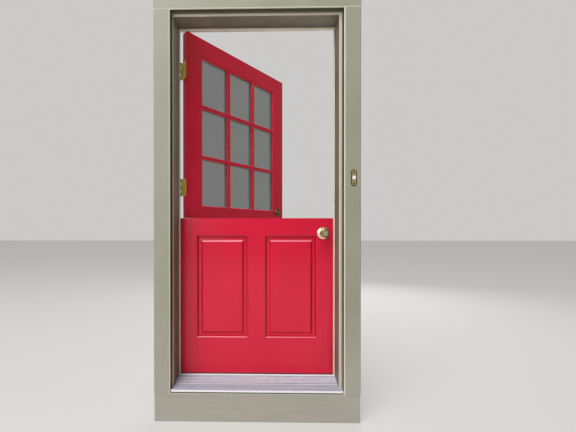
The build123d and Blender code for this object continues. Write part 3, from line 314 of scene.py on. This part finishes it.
def leaf_paint(name, axis, low, high, turn=0.0, shift=(0.0, 0.0, 0.0), chips=(), panelled=False):
    """Red outside and white indoors, brushed along an axis of the leaf as it stands when shut. Each
    chip in the red is a round spot of x, z and radius, where the undercoat shows. Round a panel,
    painted shade darkens the corner at its sides and top and along the foot and the right side of
    the raised field, and a line in the moulding's quirk is partly pooled enamel, partly painted
    shade. Slopes that face up are painted pale pink, partly as dust and partly as a painted sheen.
    """
    paint = Finish(name, IOR=1.45, Coat_Weight=0.1, Coat_Roughness=0.05)
    here = paint.place(turn=turn, shift=shift)
    x, y, z = paint.parts(here)
    bristles = paint.strokes(axis, across=700.0, along=7.0, detail=3.0, turn=turn, shift=shift)
    streaks = paint.strokes(axis, across=90.0, along=2.5, detail=4.0, roughness=0.6,
                            turn=turn, shift=shift)
    cloudy = paint.noise(here, scale=2.4, detail=5.0, roughness=0.55)
    red = paint.mix(paint.spread(cloudy, (0.32, 0.72)), RED, DARK_RED)
    red = paint.mix(paint.spread(streaks, (0.45, 0.8), to=(0.0, 0.35)), red, DARK_RED)
    red = paint.mix(paint.spread(bristles, (0.35, 0.8), to=(0.0, 0.3)), red, DEEP_RED)
    if axis == "x":
        red = paint.mix(abs(x).near(SHOULDER, HAIRLINE) * HAIRLINE_SHOWS, red, JOINT_RED)
    if panelled:
        beside = abs(abs(x) - PANEL_X) - PANEL_HALF_WIDTH
        from_panel = beside.at_least(abs(z - PANEL_Z) - PANEL_HALF_HEIGHT)
        # Painted shade round the panel: the corner at its sides and top, the quirk, and the foot
        # and right side of the field.
        panel_corner_shade = paint.line(from_panel, CORNER_WIDTH, strength=0.95)
        panel_corner_shade = panel_corner_shade * paint.spread(z, (PANEL_Z - PANEL_HALF_HEIGHT, SHADE_FULL_ABOVE))
        red = paint.mix(panel_corner_shade, red, CORNER_SHADE_RED)
        red = paint.mix(from_panel.near(QUIRK, QUIRK_WIDTH) * QUIRK_SHOWS, red, CORNER_SHADE_RED)
        side = (x > 0.0) * 2.0 - 1.0
        from_right = (abs(x) - PANEL_X) * side - PANEL_HALF_WIDTH
        from_foot = PANEL_Z - z - PANEL_HALF_HEIGHT
        field_edge_shade = from_right.at_least(from_foot).near(FIELD_EDGE, FIELD_EDGE_WIDTH)
        field_edge_shade = field_edge_shade * (abs(from_panel - FIELD_EDGE) < FIELD_EDGE_WIDTH)
        red = paint.mix(field_edge_shade, red, CORNER_SHADE_RED)
    # Slopes that face up are painted pale pink, partly as dust and partly as a painted highlight.
    upward = paint.parts(paint.node("ShaderNodeTexCoord", output="Normal"))[2]
    dust_and_sheen = paint.spread(upward, DUST_AND_SHEEN_SLOPES) * paint.spread(upward, LEDGE_FADE, to=(0.6, 0.1))
    red = paint.mix(dust_and_sheen, red, DUST_AND_SHEEN_RED)
    for chip_x, chip_z, radius in chips:
        across, above = (x - chip_x) / radius, (z - chip_z) / radius
        chipped = (across * across + above * above < 1.0) * (y < LEAF_MIDDLE)
        red = paint.mix(chipped, red, INDOOR_SHADE)
    white = paint.mix(paint.spread(bristles, (0.3, 0.75)), INDOOR_WHITE, INDOOR_SHADE)
    within = (abs(x) < HALF_LEAF - RED_SIDES) * (z > low + RED_ENDS) * (z < high - RED_ENDS)
    paint.feed("Base Color", paint.mix((y > LEAF_MIDDLE) * within, red, white))
    paint.feed("Roughness", 0.14 + 0.12 * cloudy + 0.1 * streaks)
    paint.feed("Normal", paint.height(bristles, distance=0.00016, strength=0.3))
    return paint


UPPER = {"low": LEAF_PARTING, "high": LEAF_HEAD, "turn": -LEAF_OPEN, "shift": SHUT_SHIFT}
LOWER = {"low": LEAF_FOOT, "high": LEAF_PARTING, "panelled": True}
leaf_paint("upper_paint_upright", "z", **UPPER).on(
    "upper_hinge_stile", "upper_lock_stile", "bar_hinge_side", "bar_lock_side")
leaf_paint("upper_paint_level", "x", **UPPER).on(
    "upper_top_rail", "upper_bottom_rail", "cross_bars")
leaf_paint("lower_paint_upright", "z", **LOWER).on(
    "lower_hinge_stile", "lower_lock_stile", "mullion", "panel_hinge_side", "panel_lock_side")
leaf_paint("lower_paint_level", "x", **LOWER, chips=RAIL_CHIPS).on(
    "lower_top_rail", "lower_bottom_rail")

# Glazing beads: short mitred mouldings pinned in from indoors and painted white with the leaf.
# They show through the glass as pale lines along the far sides of the panes.
BEAD_WHITE = (0.84, 0.83, 0.79, 1)
bead_white = Finish("bead_white")
bead_strokes = bead_white.strokes("z", across=300.0, along=12.0, detail=3.0)
bead_white.feed("Base Color", bead_white.mix(bead_strokes, BEAD_WHITE, INDOOR_SHADE))
bead_white.feed("Roughness", 0.3 + 0.2 * bead_strokes)
bead_white.feed("Normal", bead_white.height(bead_strokes, distance=0.0003, strength=0.4))
bead_white.on("glazing_beads")

# Glass: nine squares of float glass with a green cast, each cut to its rebate and bedded against
# it, and a little dusty. Their dark colour and half opacity are painted shade, standing in for a
# dark room behind.
GLASS_SHADE_GREEN = (0.045, 0.065, 0.052, 1)
GLASS_DUST = (0.1, 0.125, 0.105, 1)
glass = Finish("window_glass", IOR=1.5)
dust = glass.noise(glass.place(), scale=55.0, roughness=0.6)
# Painted shade: dark, half-opaque glass in place of a dark room seen through it.
glass.feed("Base Color", glass.mix(dust, GLASS_SHADE_GREEN, GLASS_DUST))
glass.feed("Roughness", 0.03 + 0.03 * dust)
glass.feed("Alpha", glass.spread(dust, (0.3, 0.7), to=(0.47, 0.52)))
glass.on("glass_panes")

# Sill: a sloping softwood board under an aluminium deck, with an aluminium saddle under the leaf.
# The metal is bare, dulled and scuffed by feet. It is worn bright on the nose, the rib and the
# saddle, and dirt lies behind the rib and along the saddle. Painted shadow, with some dirt,
# darkens the metal under the leaf and at the foot of the nose.
NOSE_BACK = -0.0285
NOSE_FOOT = 0.006
RIB_Y = 0.029
RIB_REACH = (0.0012, 0.0016)
DIRT_Y = 0.0335
DIRT_REACH = (0.0022, 0.0036)
SADDLE_FRONT = 0.1095
SADDLE_DIRT_GAP = 0.003
SADDLE_DIRT_REACH = (0.0015, 0.003)
LEAF_SHADOW = 0.119
FRONT_SCUFFED = 0.45
EDGES_WORN = 0.95
UNDER_NOSE = 0.9
UNDER_LEAF = 0.95
DULL_METAL = (0.48, 0.56, 0.68, 1)
SCUFFED_METAL = (0.27, 0.31, 0.39, 1)
WORN_METAL = (0.9, 0.92, 0.95, 1)
METAL_DIRT_AND_SHADE = (0.12, 0.09, 0.08, 1)
mill = Finish("mill_aluminium", Metallic=0.1, IOR=1.45)
drawn = mill.strokes("x", across=420.0, along=3.0, detail=4.0, roughness=0.65)
scuffs = mill.strokes("x", across=110.0, along=30.0, detail=6.0, roughness=0.7)
_, deck_y, deck_z = mill.parts(mill.place())
metal = mill.mix(mill.spread(scuffs, (0.4, 0.7)), DULL_METAL, SCUFFED_METAL)
metal = mill.mix(mill.spread(drawn, (0.4, 0.7), to=(0.0, 0.75)), metal, WORN_METAL)
metal = mill.mix((deck_y < RIB_Y) * FRONT_SCUFFED, metal, SCUFFED_METAL)
bright = mill.spread(abs(deck_y - RIB_Y), RIB_REACH, to=(0.9, 0.0))
bright = bright.at_least((deck_y < NOSE_BACK) * EDGES_WORN)
bright = bright.at_least((deck_y > SADDLE_FRONT) * EDGES_WORN)
metal = mill.mix(bright, metal, WORN_METAL)
darkening = mill.spread(abs(deck_y - DIRT_Y), DIRT_REACH, to=(0.85, 0.0))
# Painted shadow, with some dirt, at the foot of the nose and under the leaf.
darkening = darkening.at_least((deck_z < NOSE_FOOT) * UNDER_NOSE)
darkening = darkening.at_least((deck_y > LEAF_SHADOW) * UNDER_LEAF)
before_saddle = abs(deck_y - SADDLE_FRONT + SADDLE_DIRT_GAP)
darkening = darkening.at_least(mill.spread(before_saddle, SADDLE_DIRT_REACH, to=(0.7, 0.0)))
mill.feed("Base Color", mill.mix(darkening, metal, METAL_DIRT_AND_SHADE))
mill.feed("Roughness", 0.34 + 0.3 * scuffs)
mill.feed("Normal", mill.height(drawn, distance=0.0002, strength=0.5))
mill.on("threshold_deck", "threshold_cap")

SILL_PALE = (0.5, 0.35, 0.2, 1)
SILL_GRAIN = (0.33, 0.21, 0.11, 1)
sill_wood = Finish("sill_wood", Roughness=0.7)
grain = sill_wood.strokes("x", across=260.0, along=4.0, detail=6.0)
sill_wood.feed("Base Color", sill_wood.mix(grain, SILL_PALE, SILL_GRAIN))
sill_wood.feed("Normal", sill_wood.height(grain, distance=0.0004, strength=0.5))
sill_wood.on("sill_board")

# Seals: foam in a beige skin, with a barb pressed into the jamb's kerf. The skin is soiled in
# patches where hands and the leaf rub it.
SKIN_BEIGE = (0.76, 0.7, 0.6, 1)
SKIN_SHADE = (0.62, 0.56, 0.46, 1)
SKIN_SOIL = (0.4, 0.33, 0.25, 1)
skin = Finish("seal_skin", Roughness=0.6)
weave = skin.noise(skin.place(), scale=420.0, detail=2.0)
soil = skin.noise(skin.place(), scale=9.0, detail=5.0, roughness=0.6)
skin.feed("Base Color", skin.mix(skin.spread(soil, (0.52, 0.78), to=(0.0, 0.5)),
                                 skin.mix(weave, SKIN_BEIGE, SKIN_SHADE), SKIN_SOIL))
skin.feed("Normal", skin.height(weave, distance=0.0002, strength=0.5))
skin.on("seal_hinge_side", "seal_strike_side", "seal_head")

# Butts: five-knuckle hinges of yellow brass, pressed, polished and lacquered. The lacquer has gone
# in spots, where the brass has dulled, and painted shadow darkens the jamb's plates where they
# turn into the barrel.
BARREL_FOOT = 0.174
BARREL_SHADOW_REACH = (0.007, 0.012)
HINGE_BRIGHT = (1.0, 0.93, 0.26, 1)
HINGE_DULL = (0.85, 0.72, 0.14, 1)
HINGE_SHADOW = (0.07, 0.05, 0.02, 1)


def lacquered(name, bright, dull, gloss, metallic=1.0):
    """Brass of two tones under lacquer, duller in patches and where spots of lacquer have gone."""
    brass = Finish(name, Metallic=metallic)
    spots = brass.noise(brass.place(), scale=160.0, detail=5.0, roughness=0.65)
    wear = brass.noise(brass.place(), scale=24.0, detail=3.0)
    tone = brass.mix(brass.spread(wear, (0.4, 0.8), to=(0.0, 0.5)), bright, dull)
    brass.tone = brass.mix(brass.spread(spots, (0.6, 0.74), to=(0.0, 0.6)), tone, dull)
    brass.feed("Base Color", brass.tone)
    brass.feed("Roughness", gloss + 0.16 * spots)
    brass.feed("Normal", brass.height(spots, distance=0.0001, strength=0.3))
    return brass


hinge_brass = lacquered("hinge_brass", HINGE_BRIGHT, HINGE_DULL, gloss=0.2, metallic=0.2)
hinge_brass.on("upper_hinge_leaves", "lower_hinge_leaves", "hinge_pins")
jamb_brass = lacquered("jamb_brass", HINGE_BRIGHT, HINGE_DULL, gloss=0.2, metallic=0.2)
# Painted shadow on the jamb's plates where they turn into the barrel.
from_foot = abs(jamb_brass.parts(jamb_brass.place())[1] - BARREL_FOOT)
barrel_shadow = jamb_brass.spread(from_foot, BARREL_SHADOW_REACH, to=(0.9, 0.0))
jamb_brass.feed("Base Color", jamb_brass.mix(barrel_shadow, jamb_brass.tone, HINGE_SHADOW))
jamb_brass.on("frame_hinge_leaves")

# Wood screws of the butts and strikes: brass, countersunk, with a cross recess, driven flush into
# the wood. Each butt takes four on either side, and each strike two. Sizes and places of screws
# are in millimetres.
MM = 0.001
JAMB_FACE = 460.4
LEAF_EDGE = 457.2
LEAF_BACK = 166.7
LEAF_CENTRE = 144.475
LOWER_HINGES = (295.2, 763.9)
UPPER_HINGES = (1133.1, 1830.8)
BUTT_SCREWS = ((-34.5, 11.0), (-11.5, 20.0), (11.5, 11.0), (34.5, 20.0))
LATCH_Z = 860.3
DEADBOLT_Z = 1017.6
STRIKE_SCREW_SPACING = 41.3
COUNTERSUNK = {"head": 4.4, "shank": 2.1, "cone": 2.4, "length": 15.0, "dome": 0.0, "floor": -1.7}
ARM_WIDTH = 0.13
ARM_REACH = 0.6
POINT = 0.001
STEPS_BETWEEN = 6
LAST_TURN = 0.9
SCREW_BRIGHT = (0.56, 0.44, 0.17, 1)
SCREW_DULL = (0.2, 0.14, 0.05, 1)


def cross_screw(head, shank, cone, length, dome, floor):
    """Points and faces of a screw with a cross recess, its axis on z and its head's rim at 0.

    Rows are circles: over the head from its middle, then down the cone and the shank to the tip.
    Columns are angles. In each quarter they go from minus a to a over an arm of the cross, with a
    the arcsine of the arm's half width over the row's radius, and then in even steps to the next
    arm. The head's face stands at dome times one less the square of radius over head radius, and
    an arm's columns lie at the floor out to the arm's end, so that its sides are upright.
    """
    arm = ARM_WIDTH * head
    arm_end = ARM_REACH * head
    middle = math.sqrt(2.0) * arm
    radius = np.array([POINT, middle, middle, arm_end, arm_end, head, shank, shank, POINT])
    depth = np.array([0, 0, 0, 0, 0, 0, -cone, shank - length, -length], float)
    arms_sunk = np.array([1, 1, 1, 1, 0, 0, 0, 0, 0], bool)
    faces_sunk = np.array([1, 1, 0, 0, 0, 0, 0, 0, 0], bool)
    lean = np.arcsin(np.minimum(arm / radius, math.sqrt(0.5)))[:, None]
    steps = np.linspace(0.0, 1.0, STEPS_BETWEEN)[None, :]
    between = lean + (math.pi / 2 - 2 * lean) * steps
    quarter = np.concatenate([-lean, lean, between], axis=1)
    turned = quarter[:, None, :] + np.arange(4)[None, :, None] * math.pi / 2
    angle = turned.reshape(len(radius), -1)
    on_arm = np.tile(np.arange(quarter.shape[1]) < 2, 4)
    sunk = np.where(on_arm[None, :], arms_sunk[:, None], faces_sunk[:, None])
    face = np.where(depth == 0, dome * (1 - np.minimum(radius / head, 1) ** 2), depth)
    z = np.where(sunk, floor, face[:, None])
    x, y = radius[:, None] * np.cos(angle), radius[:, None] * np.sin(angle)
    points = np.stack([x, y, z], axis=-1)
    index = np.arange(z.size).reshape(z.shape)
    onward = np.roll(index, -1, axis=1)
    quads = np.stack([index[:-1], index[1:], onward[1:], onward[:-1]], axis=-1)
    return points.reshape(-1, 3), quads.reshape(-1, 4)


def screws(name, body, finish, out, sizes, spots, opened=False):
    """One piece of screws that rides on a body. Spots are where the heads' rims stand, in
    millimetres, and out is the way that the heads face. Each screw is spun by a different angle.
    On the upper leaf, points are turned open about its pins: a shut x and y less the pin's are
    turned by the leaf's angle, and the pin's are added again.
    """
    points, quads = cross_screw(**sizes)
    spots = np.array(spots, float)
    spin = LAST_TURN * np.arange(len(spots))
    out = np.array(out, float)
    level = np.cross(out, (0.0, 0.0, 1.0))
    side = np.cos(spin)[:, None] * level + np.sin(spin)[:, None] * (0.0, 0.0, 1.0)
    other = np.cross(out, side)
    vertices = (points[None, :, 0, None] * side[:, None] + points[None, :, 1, None] * other[:, None]
                + points[None, :, 2, None] * out + spots[:, None]) * MM
    if opened:
        x, y = vertices[..., 0] - PIN_X, vertices[..., 1] - PIN_Y
        vertices[..., 0] = PIN_X + x * math.cos(LEAF_OPEN) - y * math.sin(LEAF_OPEN)
        vertices[..., 1] = PIN_Y + x * math.sin(LEAF_OPEN) + y * math.cos(LEAF_OPEN)
    faces = quads[None] + len(points) * np.arange(len(spots))[:, None, None]
    mesh = bpy.data.meshes.new(name)
    mesh.from_pydata(vertices.reshape(-1, 3).tolist(), [], faces.reshape(-1, 4).tolist())
    mesh.materials.append(finish.material)
    piece = bpy.data.objects.new(name, mesh)
    bpy.context.scene.collection.objects.link(piece)
    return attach(piece, body)


def butt_spots(x, hinges):
    """Places of the screws of butts on a face at x."""
    return [(x, LEAF_BACK - inset, z + rise) for z in hinges for rise, inset in BUTT_SCREWS]


def screw_pair(x, y, z, spacing):
    """Places of two screws, one above the other."""
    return [(x, y, z + side * spacing / 2) for side in (-1, 1)]


screw_brass = lacquered("screw_brass", SCREW_BRIGHT, SCREW_DULL, gloss=0.26)
jamb_screws = screws("jamb_screws", "frame", screw_brass, out=(1, 0, 0), sizes=COUNTERSUNK,
                     spots=butt_spots(-JAMB_FACE, LOWER_HINGES + UPPER_HINGES))
screws("strike_screws", "frame", screw_brass, out=(-1, 0, 0), sizes=COUNTERSUNK,
       spots=screw_pair(JAMB_FACE, LEAF_CENTRE, LATCH_Z, STRIKE_SCREW_SPACING)
       + screw_pair(JAMB_FACE, LEAF_CENTRE, DEADBOLT_Z, STRIKE_SCREW_SPACING))
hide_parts("frame_screws")
lower_butt_screws = screws("lower_butt_screws", "lower_leaf", screw_brass, out=(-1, 0, 0),
                           sizes=COUNTERSUNK, spots=butt_spots(-LEAF_EDGE, LOWER_HINGES))
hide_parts("lower_screws")
upper_butt_screws = screws("upper_butt_screws", "upper_leaf", screw_brass, out=(-1, 0, 0),
                           sizes=COUNTERSUNK, spots=butt_spots(-LEAF_EDGE, UPPER_HINGES),
                           opened=True)
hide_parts("upper_screws")

# Latch and deadbolt: tubular cases whose brass faceplates are let into the leaves' edges, each held
# by two low-headed screws, with brass strikes let into the jamb.
FACEPLATE_SCREW_SPACING = 45.0
LOW_HEAD = {"head": 3.2, "shank": 1.6, "cone": 0.2, "length": 12.0, "dome": 0.8, "floor": 0.15}
LOCK_BRIGHT = (0.86, 0.73, 0.4, 1)
LOCK_DULL = (0.52, 0.4, 0.18, 1)
lock_brass = lacquered("lock_brass", LOCK_BRIGHT, LOCK_DULL, gloss=0.18)
lock_brass.on("latch_bolt", "latch_case", "latch_strike")
lock_brass.on("deadbolt", "deadbolt_case", "deadbolt_strike")
screws("latch_face_screws", "lower_leaf", screw_brass, out=(1, 0, 0), sizes=LOW_HEAD,
       spots=screw_pair(LEAF_EDGE, LEAF_CENTRE, LATCH_Z, FACEPLATE_SCREW_SPACING))
screws("deadbolt_face_screws", "upper_leaf", screw_brass, out=(1, 0, 0), sizes=LOW_HEAD,
       spots=screw_pair(LEAF_EDGE, LEAF_CENTRE, DEADBOLT_Z, FACEPLATE_SCREW_SPACING), opened=True)

# Knobs and roses: spun from brass sheet, polished bright and lacquered, with a brown line in the
# turned grooves. The outer knob holds a key plug in its dish, and the inner one a turn button.
KNOB_X = 0.3872
KNOB_Z = 0.8603
KNOB_GROOVES = ((0.0205, 0.0032), (0.0102, 0.0015))
KNOB_BRIGHT = (0.84, 0.74, 0.45, 1)
KNOB_DULL = (0.48, 0.39, 0.2, 1)
GROOVE_BROWN = (0.1, 0.07, 0.03, 1)
PLUG_BRIGHT = (0.82, 0.8, 0.7, 1)
PLUG_WORN = (0.5, 0.48, 0.4, 1)
knob_brass = lacquered("knob_brass", KNOB_BRIGHT, KNOB_DULL, gloss=0.13)
knob_aside, _, knob_above = knob_brass.parts(knob_brass.place(shift=(-KNOB_X, 0.0, -KNOB_Z)))
from_axis = (knob_aside * knob_aside + knob_above * knob_above).root()
for groove, width in KNOB_GROOVES:
    in_groove = knob_brass.line(from_axis - groove, width, strength=0.9)
    knob_brass.tone = knob_brass.mix(in_groove, knob_brass.tone, GROOVE_BROWN)
knob_brass.feed("Base Color", knob_brass.tone)
knob_brass.on("knob_set", "knob_roses", "turn_button")
plug_metal = Finish("plug_metal", Metallic=0.7)
scratched = plug_metal.noise(plug_metal.place(), scale=300.0)
plug_metal.feed("Base Color", plug_metal.mix(scratched, PLUG_BRIGHT, PLUG_WORN))
plug_metal.feed("Roughness", 0.28 + 0.2 * scratched)
plug_metal.on("deadbolt_key_plug", "knob_key_plug")

# Deadbolt trim: the tapered ring outdoors is cast brass that has darkened to bronze. The plate and
# the thumb turn indoors are still bright.
RING_BROWN = (0.17, 0.12, 0.07, 1)
RING_BLACK = (0.045, 0.032, 0.022, 1)
bronze = Finish("aged_bronze", Metallic=0.9)
patina = bronze.noise(bronze.place(), scale=90.0, detail=5.0, roughness=0.6)
bronze.feed("Base Color", bronze.mix(patina, RING_BROWN, RING_BLACK))
bronze.feed("Roughness", 0.34 + 0.22 * patina)
bronze.on("deadbolt_ring")
lock_brass.on("thumb_turn", "deadbolt_turn_plate")

# Quadrant: a cast brass arm on a stud. It drops from the upper leaf into a keep on the lower one,
# so that the two swing as one door. Three low-headed screws hold its plate, clear of the arm.
QUADRANT_X = 289.2
QUADRANT_Z = 976.1
QUADRANT_PLATE = 3.0
QUADRANT_FACE = LEAF_BACK + QUADRANT_PLATE
QUADRANT_SCREWS = ((28.0, -13.0), (28.0, 13.0), (-28.0, 13.0))
lock_brass.on("quadrant", "quadrant_plate", "quadrant_keep")
screws("quadrant_screws", "upper_leaf", screw_brass, out=(0, 1, 0), sizes=LOW_HEAD,
       spots=[(QUADRANT_X + x, QUADRANT_FACE, QUADRANT_Z + z) for x, z in QUADRANT_SCREWS],
       opened=True)

# Bell push: a pressed brass plate with round ends, darkened towards its bevel, held by two round
# screws. A white plastic button with a flange comes through it from behind.
BELL_X = 521.55
BELL_Z = 1155.0
BELL_FACE = -37.0
BELL_SCREW_RISE = 28.5
BELL_SCREW = {"head": 3.4, "shank": 1.6, "cone": 0.2, "length": 12.0, "dome": 1.3, "floor": 0.4}
BELL_RIM = (0.0098, 0.0118)
PLATE_END = 0.029
SCREW_SOIL = (0.0036, 0.0062)
BELL_BRIGHT = (0.66, 0.53, 0.26, 1)
BELL_TARNISH = (0.3, 0.22, 0.1, 1)
BELL_DARK = (0.06, 0.042, 0.022, 1)
DARK_BRASS = (0.16, 0.12, 0.06, 1)
BLACK_BRASS = (0.06, 0.045, 0.025, 1)
bell_brass = Finish("bell_brass", Metallic=0.85)
across, _, upward = bell_brass.parts(bell_brass.place(shift=(-BELL_X * MM, 0.0, -BELL_Z * MM)))
past_end = (abs(upward) - PLATE_END).at_least(0.0)
from_spine = (across * across + past_end * past_end).root()
mottled = bell_brass.noise(bell_brass.place(), scale=260.0, roughness=0.6)
plate_tone = bell_brass.mix(bell_brass.spread(mottled, (0.45, 0.7)), BELL_BRIGHT, BELL_TARNISH)
rim = bell_brass.spread(from_spine, BELL_RIM)
above_screw = abs(upward) - BELL_SCREW_RISE * MM
from_screw = (across * across + above_screw * above_screw).root()
soiled = rim.at_least(bell_brass.spread(from_screw, SCREW_SOIL, to=(0.9, 0.0)))
bell_brass.feed("Base Color", bell_brass.mix(soiled, plate_tone, BELL_DARK))
bell_brass.feed("Roughness", 0.24 + 0.25 * mottled + 0.15 * rim)
bell_brass.on("bell_plate")
dark_brass = lacquered("dark_brass", DARK_BRASS, BLACK_BRASS, gloss=0.4)
screws("bell_screws", "frame", dark_brass, out=(0, -1, 0), sizes=BELL_SCREW,
       spots=screw_pair(BELL_X, BELL_FACE, BELL_Z, spacing=2 * BELL_SCREW_RISE))

BUTTON_Z = 1155.5
BUTTON_RIM = (0.0085, 0.0102)
BUTTON_WHITE = (0.93, 0.92, 0.88, 1)
BUTTON_YELLOWED = (0.84, 0.81, 0.72, 1)
BUTTON_SOIL = (0.4, 0.36, 0.28, 1)
button = Finish("button_plastic", Roughness=0.25)
yellowed = button.noise(button.place(), scale=60.0)
aside, _, above = button.parts(button.place(shift=(-BELL_X * MM, 0.0, -BUTTON_Z * MM)))
button_rim = button.spread(aside * aside + above * above,
                           [edge ** 2 for edge in BUTTON_RIM], to=(0.0, 0.75))
button_tone = button.mix(yellowed, BUTTON_WHITE, BUTTON_YELLOWED)
button.feed("Base Color", button.mix(button_rim, button_tone, BUTTON_SOIL))
button.on("bell_button")

# Contact plug: a short dowel of pinkish white plastic, as a door contact has, pressed into a hole
# in the upper leaf's top edge.
DOWEL_PALE = (0.8, 0.68, 0.64, 1)
DOWEL_DARK = (0.66, 0.53, 0.48, 1)
dowel = Finish("plug_plastic", Roughness=0.5)
specks = dowel.noise(dowel.place(), scale=200.0)
dowel.feed("Base Color", dowel.mix(specks, DOWEL_PALE, DOWEL_DARK))
dowel.on("contact_plug")

# Sweep: a strip of black vinyl with three fins, stapled under the lower leaf. The fins wipe the
# saddle and are rubbed grey.
VINYL_BLACK = (0.03, 0.03, 0.03, 1)
VINYL_RUBBED = (0.08, 0.078, 0.074, 1)
sweep = Finish("sweep_vinyl", Roughness=0.6)
rubbed = sweep.strokes("x", across=260.0, along=40.0, detail=4.0)
sweep.feed("Base Color", sweep.mix(rubbed, VINYL_BLACK, VINYL_RUBBED))
sweep.on("door_sweep")

# Studio: a pale matt floor just under the apron, and a pale world round it. Both show paler to the
# camera than the light that they give off, and the floor keeps the door's shadow.
FLOOR_Z = -0.1526
FLOOR_REACH = 30.0
CORNERS = ((-1, -1), (1, -1), (1, 1), (-1, 1))
FLOOR_PALE = (0.78, 0.77, 0.75, 1)
FLOOR_GLOW = (0.64, 0.63, 0.61, 1)
GLOW_SHARE = 0.6
WORLD_LIGHT = 0.18
WORLD_SHOWN = 0.6
WORLD_WHITE = (1.0, 0.99, 0.97, 1)
GLOSSY_SHARE = 0.4
floor_mesh = bpy.data.meshes.new("floor")
floor_mesh.from_pydata([(FLOOR_REACH * x, FLOOR_REACH * y, FLOOR_Z) for x, y in CORNERS],
                       [], [range(4)])
floor = bpy.data.objects.new("floor", floor_mesh)
bpy.context.scene.collection.objects.link(floor)
floor_look = Finish("pale_floor", Base_Color=FLOOR_PALE, Roughness=0.8)
seen = floor_look.node("ShaderNodeLightPath", output="Is Camera Ray")
glow = floor_look.node("ShaderNodeEmission", {}, {"Color": FLOOR_GLOW})
matt = Wire(floor_look, floor_look.shader.outputs["BSDF"])
blend = floor_look.node("ShaderNodeMixShader", {}, {0: seen * GLOW_SHARE, 1: matt, 2: glow})
floor_look.tree.links.new(blend.socket, floor_look.tree.nodes["Material Output"].inputs["Surface"])
floor_mesh.materials.append(floor_look.material)

world = bpy.data.worlds.new("studio")
bpy.context.scene.world = world
world.use_nodes = True
air = Nodes(world.node_tree)
camera_ray, glossy_ray, through_glass = [
    air.node("ShaderNodeLightPath", output=f"Is {kind} Ray")
    for kind in ("Camera", "Glossy", "Transmission")]
shown = (glossy_ray * GLOSSY_SHARE + camera_ray).at_least(through_glass)
strength = WORLD_LIGHT + (WORLD_SHOWN - WORLD_LIGHT) * shown
backdrop = air.tree.nodes["Background"]
backdrop.inputs["Color"].default_value = WORLD_WHITE
air.tree.links.new(strength.socket, backdrop.inputs["Strength"])


# Lights: three large soft ones. The key stands in front to the left, the sky hangs high over it and
# gives the most, and a weak one lifts the white side.
def soft_light(name, spot, aim, width, height, watts):
    """Large area light at a spot, aimed at a point."""
    light = bpy.data.lights.new(name, "AREA")
    light.shape = "RECTANGLE"
    light.size = width
    light.size_y = height
    light.energy = watts
    holder = bpy.data.objects.new(name, light)
    bpy.context.scene.collection.objects.link(holder)
    reach = np.subtract(aim, spot)
    holder.location = spot
    holder.rotation_euler = (math.atan2(math.hypot(reach[0], reach[1]), -reach[2]), 0.0,
                             math.atan2(-reach[0], reach[1]))


soft_light("key", spot=(-4.6, -8.0, 3.2), aim=(0.0, 0.0, 0.8), width=5.0, height=4.0, watts=180)
soft_light("sky", spot=(-2.6, -4.2, 8.2), aim=(0.0, 0.0, 0.5), width=5.0, height=9.0, watts=800)
soft_light("indoors", spot=(1.5, 4.0, 2.6), aim=(0.0, 0.0, 1.0), width=3.0, height=3.0, watts=110)

# Camera: close in front of the door with a wide lens, just under the height of the lower leaf's
# top, and tipped down and swung to the left a little, as fitted to the edges in the photograph.
LENS = 20.44
SENSOR_WIDTH = 36.0
LENS_SHIFT = (0.0482, 0.0269)
CAMERA_SPOT = (0.0576, -1.7798, 0.8786)
TIPPED_DOWN = 0.275
SWUNG_LEFT = 1.085
camera_data = bpy.data.cameras.new("camera")
camera_data.sensor_width = SENSOR_WIDTH
camera_data.lens = LENS
camera_data.shift_x, camera_data.shift_y = LENS_SHIFT
camera = bpy.data.objects.new("camera", camera_data)
camera.location = CAMERA_SPOT
camera.rotation_euler = (math.radians(90.0 - TIPPED_DOWN), 0.0, math.radians(SWUNG_LEFT))
bpy.context.scene.collection.objects.link(camera)
bpy.context.scene.camera = camera
bpy.context.scene.view_settings.view_transform = "Standard"
